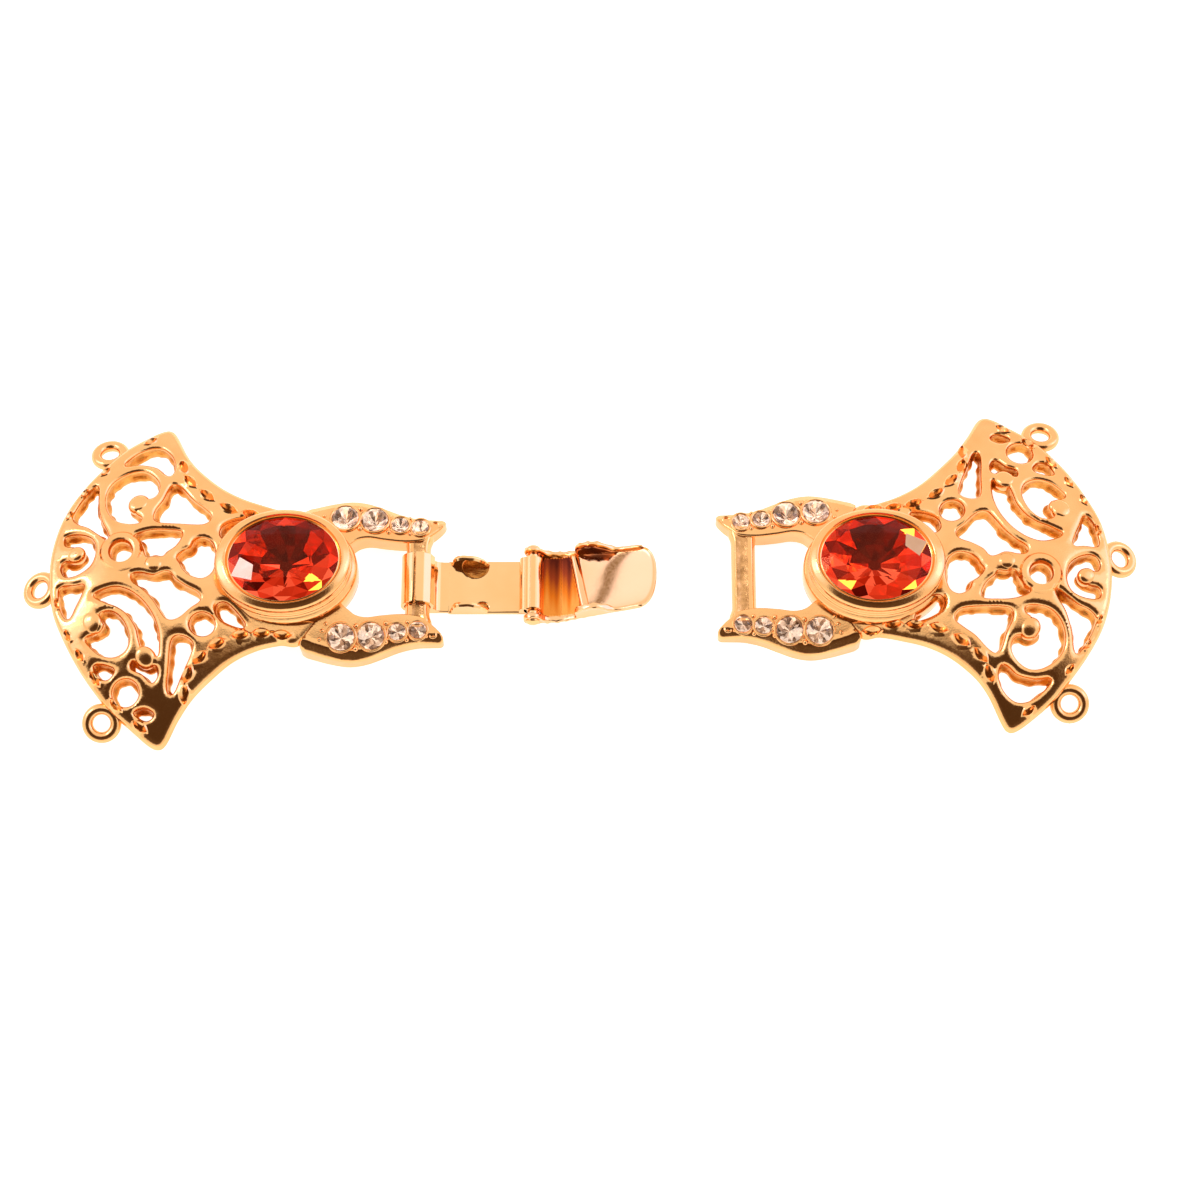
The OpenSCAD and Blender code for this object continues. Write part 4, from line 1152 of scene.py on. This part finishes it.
cover = {"length": 11.1, "hingeHalf": 3.42, "tipHalf": 2.95, "wall": 0.38, "tipDepth": 1.8, "tipPower": 2.4,
         "twist": -0.007, "roofRound": 0.3, "tubeRoom": 0.91, "dish": 0.04, "curl": 0.12, "curlFrom": 9.0}
# Ridge across the roof's inside, and the swellings along the walls' free edges
rib = {"x": 3.95, "slant": -0.2, "half": 2.75, "r": 0.4, "high": 0.34}
wallSwell = {"least": 0.08, "most": 0.18, "waves": 7.4, "reach": 0.5, "edgeRound": 0.19}
# Painted shade and dark reflection: on the hollow's floor, from the tube to the rib, and as a dark patch on
# the near wall's lobe
floorShade = {"fromX": 0.5, "ribGap": 0.3, "half": 2.8, "lowest": 0.4, "under": 0.25, "middle": 0.6,
              "lean": 0.14}
wallShade = {"in": 0.55, "out": 0.12, "under": 0.45, "lobeX": 5.4, "lobeHalf": 1.9, "edge": 0.25, "more": 0.5}
# Roof line near the hinge, and from there on its first slope and how that slope falls off along the cover
hingeLine = np.array([[0.2, 1.0], [0.4, 1.1], [0.75, 1.25], [1, 1.38], [2, 1.82], [3, 1.88], [3.9, 1.95]])
roofCurve = {"start": 3.9, "z": 1.95, "slope": 0.19, "fall": 0.026}
# Outline of a wall in side view: from the tip over its lobe and the notch for the rib to the lobe on the pin
wallEdge = [
    [9.9, 2.1], [9.6, 1.9], [8.8, 1.84], [7.9, 1.8], [7.3, 1.62], [6.95, 1.1], [6.6, 0.5], [6.2, 0.08],
    [5.65, -0.12], [5, -0.14], [4.4, 0.02], [3.95, 0.4], [3.75, 0.95], [3.55, 1.38], [2.6, 1.36], [1.75, 1.1],
    [1.1, 0.6], [0.86, 0], [0.6, -0.6], [0, -0.85], [-0.6, -0.6], [-0.85, 0], [-0.66, 0.5], [-0.2, 0.84],
    [0.4, 0.98], [1.1, 1.3], [2, 1.66], [3.9, 1.8], [6, 2.05], [8.4, 2.32], [9.6, 2.36]]


def roofHeight(x, y=0):
    # the hinge's line, then a slope that falls off evenly, and differs a little from side to side
    run = np.clip(x - roofCurve["start"], 0, None)
    rise = (roofCurve["slope"] + cover["twist"] * y) * run - roofCurve["fall"] * run**2 / 2
    return np.interp(x, hingeLine[:, 0], hingeLine[:, 1]) + rise


def halfWidth(x):
    # narrows evenly from the hinge to the tip
    narrower = cover["tipHalf"] - cover["hingeHalf"]
    return cover["hingeHalf"] + narrower * np.clip(x, 0, None) / cover["length"]


def tipCurve(count):
    # the tip's plan: a quarter of a squared-off ellipse on each side, from one wall's end to the other's
    turn = np.linspace(math.pi / 2, -math.pi / 2, count)
    power = 2 / cover["tipPower"]
    x = cover["length"] - cover["tipDepth"] * (1 - np.abs(np.cos(turn)) ** power)
    y = np.sign(np.sin(turn)) * np.abs(np.sin(turn)) ** power * halfWidth(x)
    return np.column_stack([x, y])


def makeRoof():
    # tapering plan with a rounded tip, following the roof line; near the hinge it closes in on the tube, and
    # round the tip its edge curls inwards
    start = np.array([[0.22, halfWidth(0.22) - cover["wall"]]])
    loop = evenly(np.vstack([start, tipCurve(40) * [1, 0.985], start * [1, -1]]), 0.12)
    plan = planOf(loop, [], [0.03, 0.08, 0.15, 0.24, 0.36, 0.5], 0.18)

    def outside(points, depth):
        return roofHeight(*points.T) - roundOver(depth, cover["roofRound"])

    def inside(points):
        x, y = points.T
        tube = np.sqrt(np.clip(cover["tubeRoom"] ** 2 - x**2, 0, None))
        dish = cover["dish"] * (y / 2.6) ** 4 * np.clip((x - 3.5) / 1.5, 0, 1)
        tip = np.clip((x - cover["curlFrom"]) / 0.7, 0, 1)
        inwards = cover["curl"] * np.clip(1 - plan["depth"] / 0.4, 0, 1) ** 2
        curl = tip * (inwards - roundOver(plan["depth"], 0.12))
        return np.maximum(roofHeight(x, y) - cover["wall"] - dish - curl, tube)

    return cutSheet(plan, outside, inside, None, 4)


def makeCoverWall(side):
    # the wall's outline in side view, its thickness laid inwards; its edge is rounded, and swells in places
    plan = planOf(smoothLoop(wallEdge, 0.1), [], [0.03, 0.08, 0.14, 0.2], 0.3)
    x, z = plan["points"].T
    free = np.interp(z, [1.5, 2.0], [1, 0]) * np.clip(1 - plan["depth"] / wallSwell["reach"], 0, 1)
    wave = (0.5 + 0.5 * np.sin(x * wallSwell["waves"] + side)) ** 2
    swell = free * (wallSwell["least"] + (wallSwell["most"] - wallSwell["least"]) * wave)

    def inner(points, depth):
        return cover["wall"] - roundOver(depth, wallSwell["edgeRound"]) + swell

    def outer(points):
        return roundOver(plan["depth"], wallSwell["edgeRound"]) - swell

    verts, faces = cutSheet(plan, inner, outer, None, 3)
    x, z, inwards = verts.T
    return np.column_stack([x, side * (halfWidth(x) - inwards), z]), faces


def makeRib():
    # a low round ridge laid slantwise across the inside of the roof
    y = np.linspace(-rib["half"], rib["half"], 24)[:, None]
    turn = np.linspace(0, 2 * math.pi, 18, endpoint=False)[None]
    x = rib["x"] - rib["slant"] * y + rib["r"] * np.cos(turn)
    z = roofHeight(x, y) - 0.4 + rib["high"] * np.sin(turn)
    return capped(gridOf(x, y, z))


def paintedCoverShade(v):
    # painted shade and dark reflection: how dark a point is painted in the hollow between the tube and the
    # rib, in streaks and darker to one side, and on the inner face of the near wall, darkest on its lobe
    x, y, z = v.T
    under = roofHeight(x, y) - z
    ribSide = rib["x"] - rib["slant"] * y - floorShade["ribGap"]
    across = np.clip((x - floorShade["fromX"]) / 0.1, 0, 1) * np.clip((ribSide - x) / 0.15, 0, 1)
    streaks = 0.1 * np.sin(x * 5) + 0.07 * np.sin(x * 11 + 1)
    shade = across * np.clip(floorShade["middle"] - floorShade["lean"] * y + streaks, 0.3, 1)
    onFloor = (z > floorShade["lowest"]) & (np.abs(y) < floorShade["half"]) & (under > floorShade["under"])
    inwards = y + halfWidth(x)
    onWall = (inwards < wallShade["in"]) & (inwards > cover["wall"] - wallShade["out"])
    lobe = np.clip(1 - np.abs(x - wallShade["lobeX"]) / wallShade["lobeHalf"], 0, 1)
    dark = wallShade["edge"] + wallShade["more"] * lobe
    return np.maximum(np.where(onFloor, shade, 0), np.where(onWall & (under > wallShade["under"]), dark, 0))


verts, faces = joined([makeRoof(), makeCoverWall(1), makeCoverWall(-1), makeRib()])
# the cover's points carry its painted shade
putMesh("coverLeaf", toCover(verts), faces, [coverShadedGold], "cover", ["cover_leaf"], None, 30,
        None, paintedCoverShade(verts))
print("latch made")

# Camera, floor and light

cameraLook = {"elevation": math.radians(68), "distance": 240, "aim": (1.69, -1.5, 0), "lens": 79.92}
camera = bpy.data.objects.new("camera", bpy.data.cameras.new("camera"))
bpy.context.scene.collection.objects.link(camera)
aim = Vector(cameraLook["aim"])
back = Vector((0, -math.cos(cameraLook["elevation"]), math.sin(cameraLook["elevation"])))
camera.location = (aim + back * cameraLook["distance"]) * mm
camera.rotation_euler = (math.pi / 2 - cameraLook["elevation"], 0, 0)
camera.data.lens = cameraLook["lens"]
camera.data.sensor_width = 36
camera.data.clip_start = 0.01
bpy.context.scene.camera = camera

# The white sheet that the clasp lies on
floorLook = {"half": 2, "drop": 0.02 * mm}
floorMaterial, nodes, links, sockets = newMaterial("whiteSheet", {
    "Roughness": 0.9, "Specular IOR Level": 0.1, "Emission Color": (1, 1, 1, 1), "Emission Strength": 0.9})
tone = noiseOn(nodes, links, 40, 2)
links.new(greyOf(nodes, links, tone, 0.5, 0.53, 0.7), sockets["Base Color"])
corners = [(x * floorLook["half"], y * floorLook["half"], -floorLook["drop"])
           for x, y in ((-1, -1), (1, -1), (1, 1), (-1, 1))]
floorMesh = bpy.data.meshes.new("floor")
floorMesh.from_pydata(corners, [], [(0, 1, 2, 3)])
floorMesh.materials.append(floorMaterial)
floor = bpy.data.objects.new("floor", floorMesh)
bpy.context.scene.collection.objects.link(floor)

# Surroundings by direction: a white studio, a dark warm stretch above the viewer, a cool soft light on each
# side and one small lamp. Each patch: direction, cosine where it starts and where it is full, colour
surroundings = {
    "base": (1.03, 1.03, 1.03),
    "patches": [((0, -0.59, 0.81), 0.743, 0.848, (0.11, 0.072, 0.045)),
                ((0, -0.4, 0.917), 0.915, 0.97, (0.08, 0.047, 0.025)),
                ((-0.72, 0.2, 0.66), 0.9, 0.98, (1.35, 1.45, 2.0)),
                ((-0.78, 0.2, 0.58), 0.982, 0.992, (2.1, 2.4, 3.7)),
                ((0.72, 0.2, 0.66), 0.9, 0.98, (1.3, 1.4, 1.95)),
                ((0.78, 0.2, 0.58), 0.985, 0.993, (2.0, 2.3, 3.5)),
                ((0.88, 0.32, 0.33), 0.95, 0.985, (1.6, 1.5, 2.6)),
                ((-0.594, 0.225, 0.77), 0.9945, 0.9965, (9, 9, 9.5))]}
# A row of dark spots beside the lamp, which the cover's floor mirrors as one curved band
for number in range(6):
    x, y = -0.592 + 0.014 * number, 0.31 + 0.026 * number
    toward = (x, y, round(math.sqrt(1 - x**2 - y**2), 3))
    surroundings["patches"].append((toward, 0.9993, 0.9998, (0.3, 0.22, 0.15)))
world = bpy.data.worlds.new("studio")
bpy.context.scene.world = world
world.use_nodes = True
nodes, links = world.node_tree.nodes, world.node_tree.links
direction = nodes.new("ShaderNodeTexCoord").outputs["Generated"]
light = nodes.new("ShaderNodeCombineColor").outputs["Color"]
for channel, value in zip(("Red", "Green", "Blue"), surroundings["base"]):
    light.node.inputs[channel].default_value = value
for toward, start, full, colour in surroundings["patches"]:
    dot = nodes.new("ShaderNodeVectorMath")
    dot.operation = "DOT_PRODUCT"
    dot.inputs[1].default_value = Vector(toward).normalized()
    links.new(direction, dot.inputs[0])
    reach = nodes.new("ShaderNodeMapRange")
    reach.interpolation_type = "SMOOTHSTEP"
    reach.inputs["From Min"].default_value = start
    reach.inputs["From Max"].default_value = full
    links.new(dot.outputs["Value"], reach.inputs["Value"])
    mix = nodes.new("ShaderNodeMix")
    mix.data_type = "RGBA"
    mix.inputs[7].default_value = (*colour, 1)  # a colour mix has its factor, A and B at 0, 6 and 7
    links.new(reach.outputs["Result"], mix.inputs[0])
    links.new(light, mix.inputs[6])
    light = mix.outputs[2]
links.new(light, nodes["Background"].inputs["Color"])
bpy.context.scene.view_settings.view_transform = "Standard"
print("camera, floor and light set")
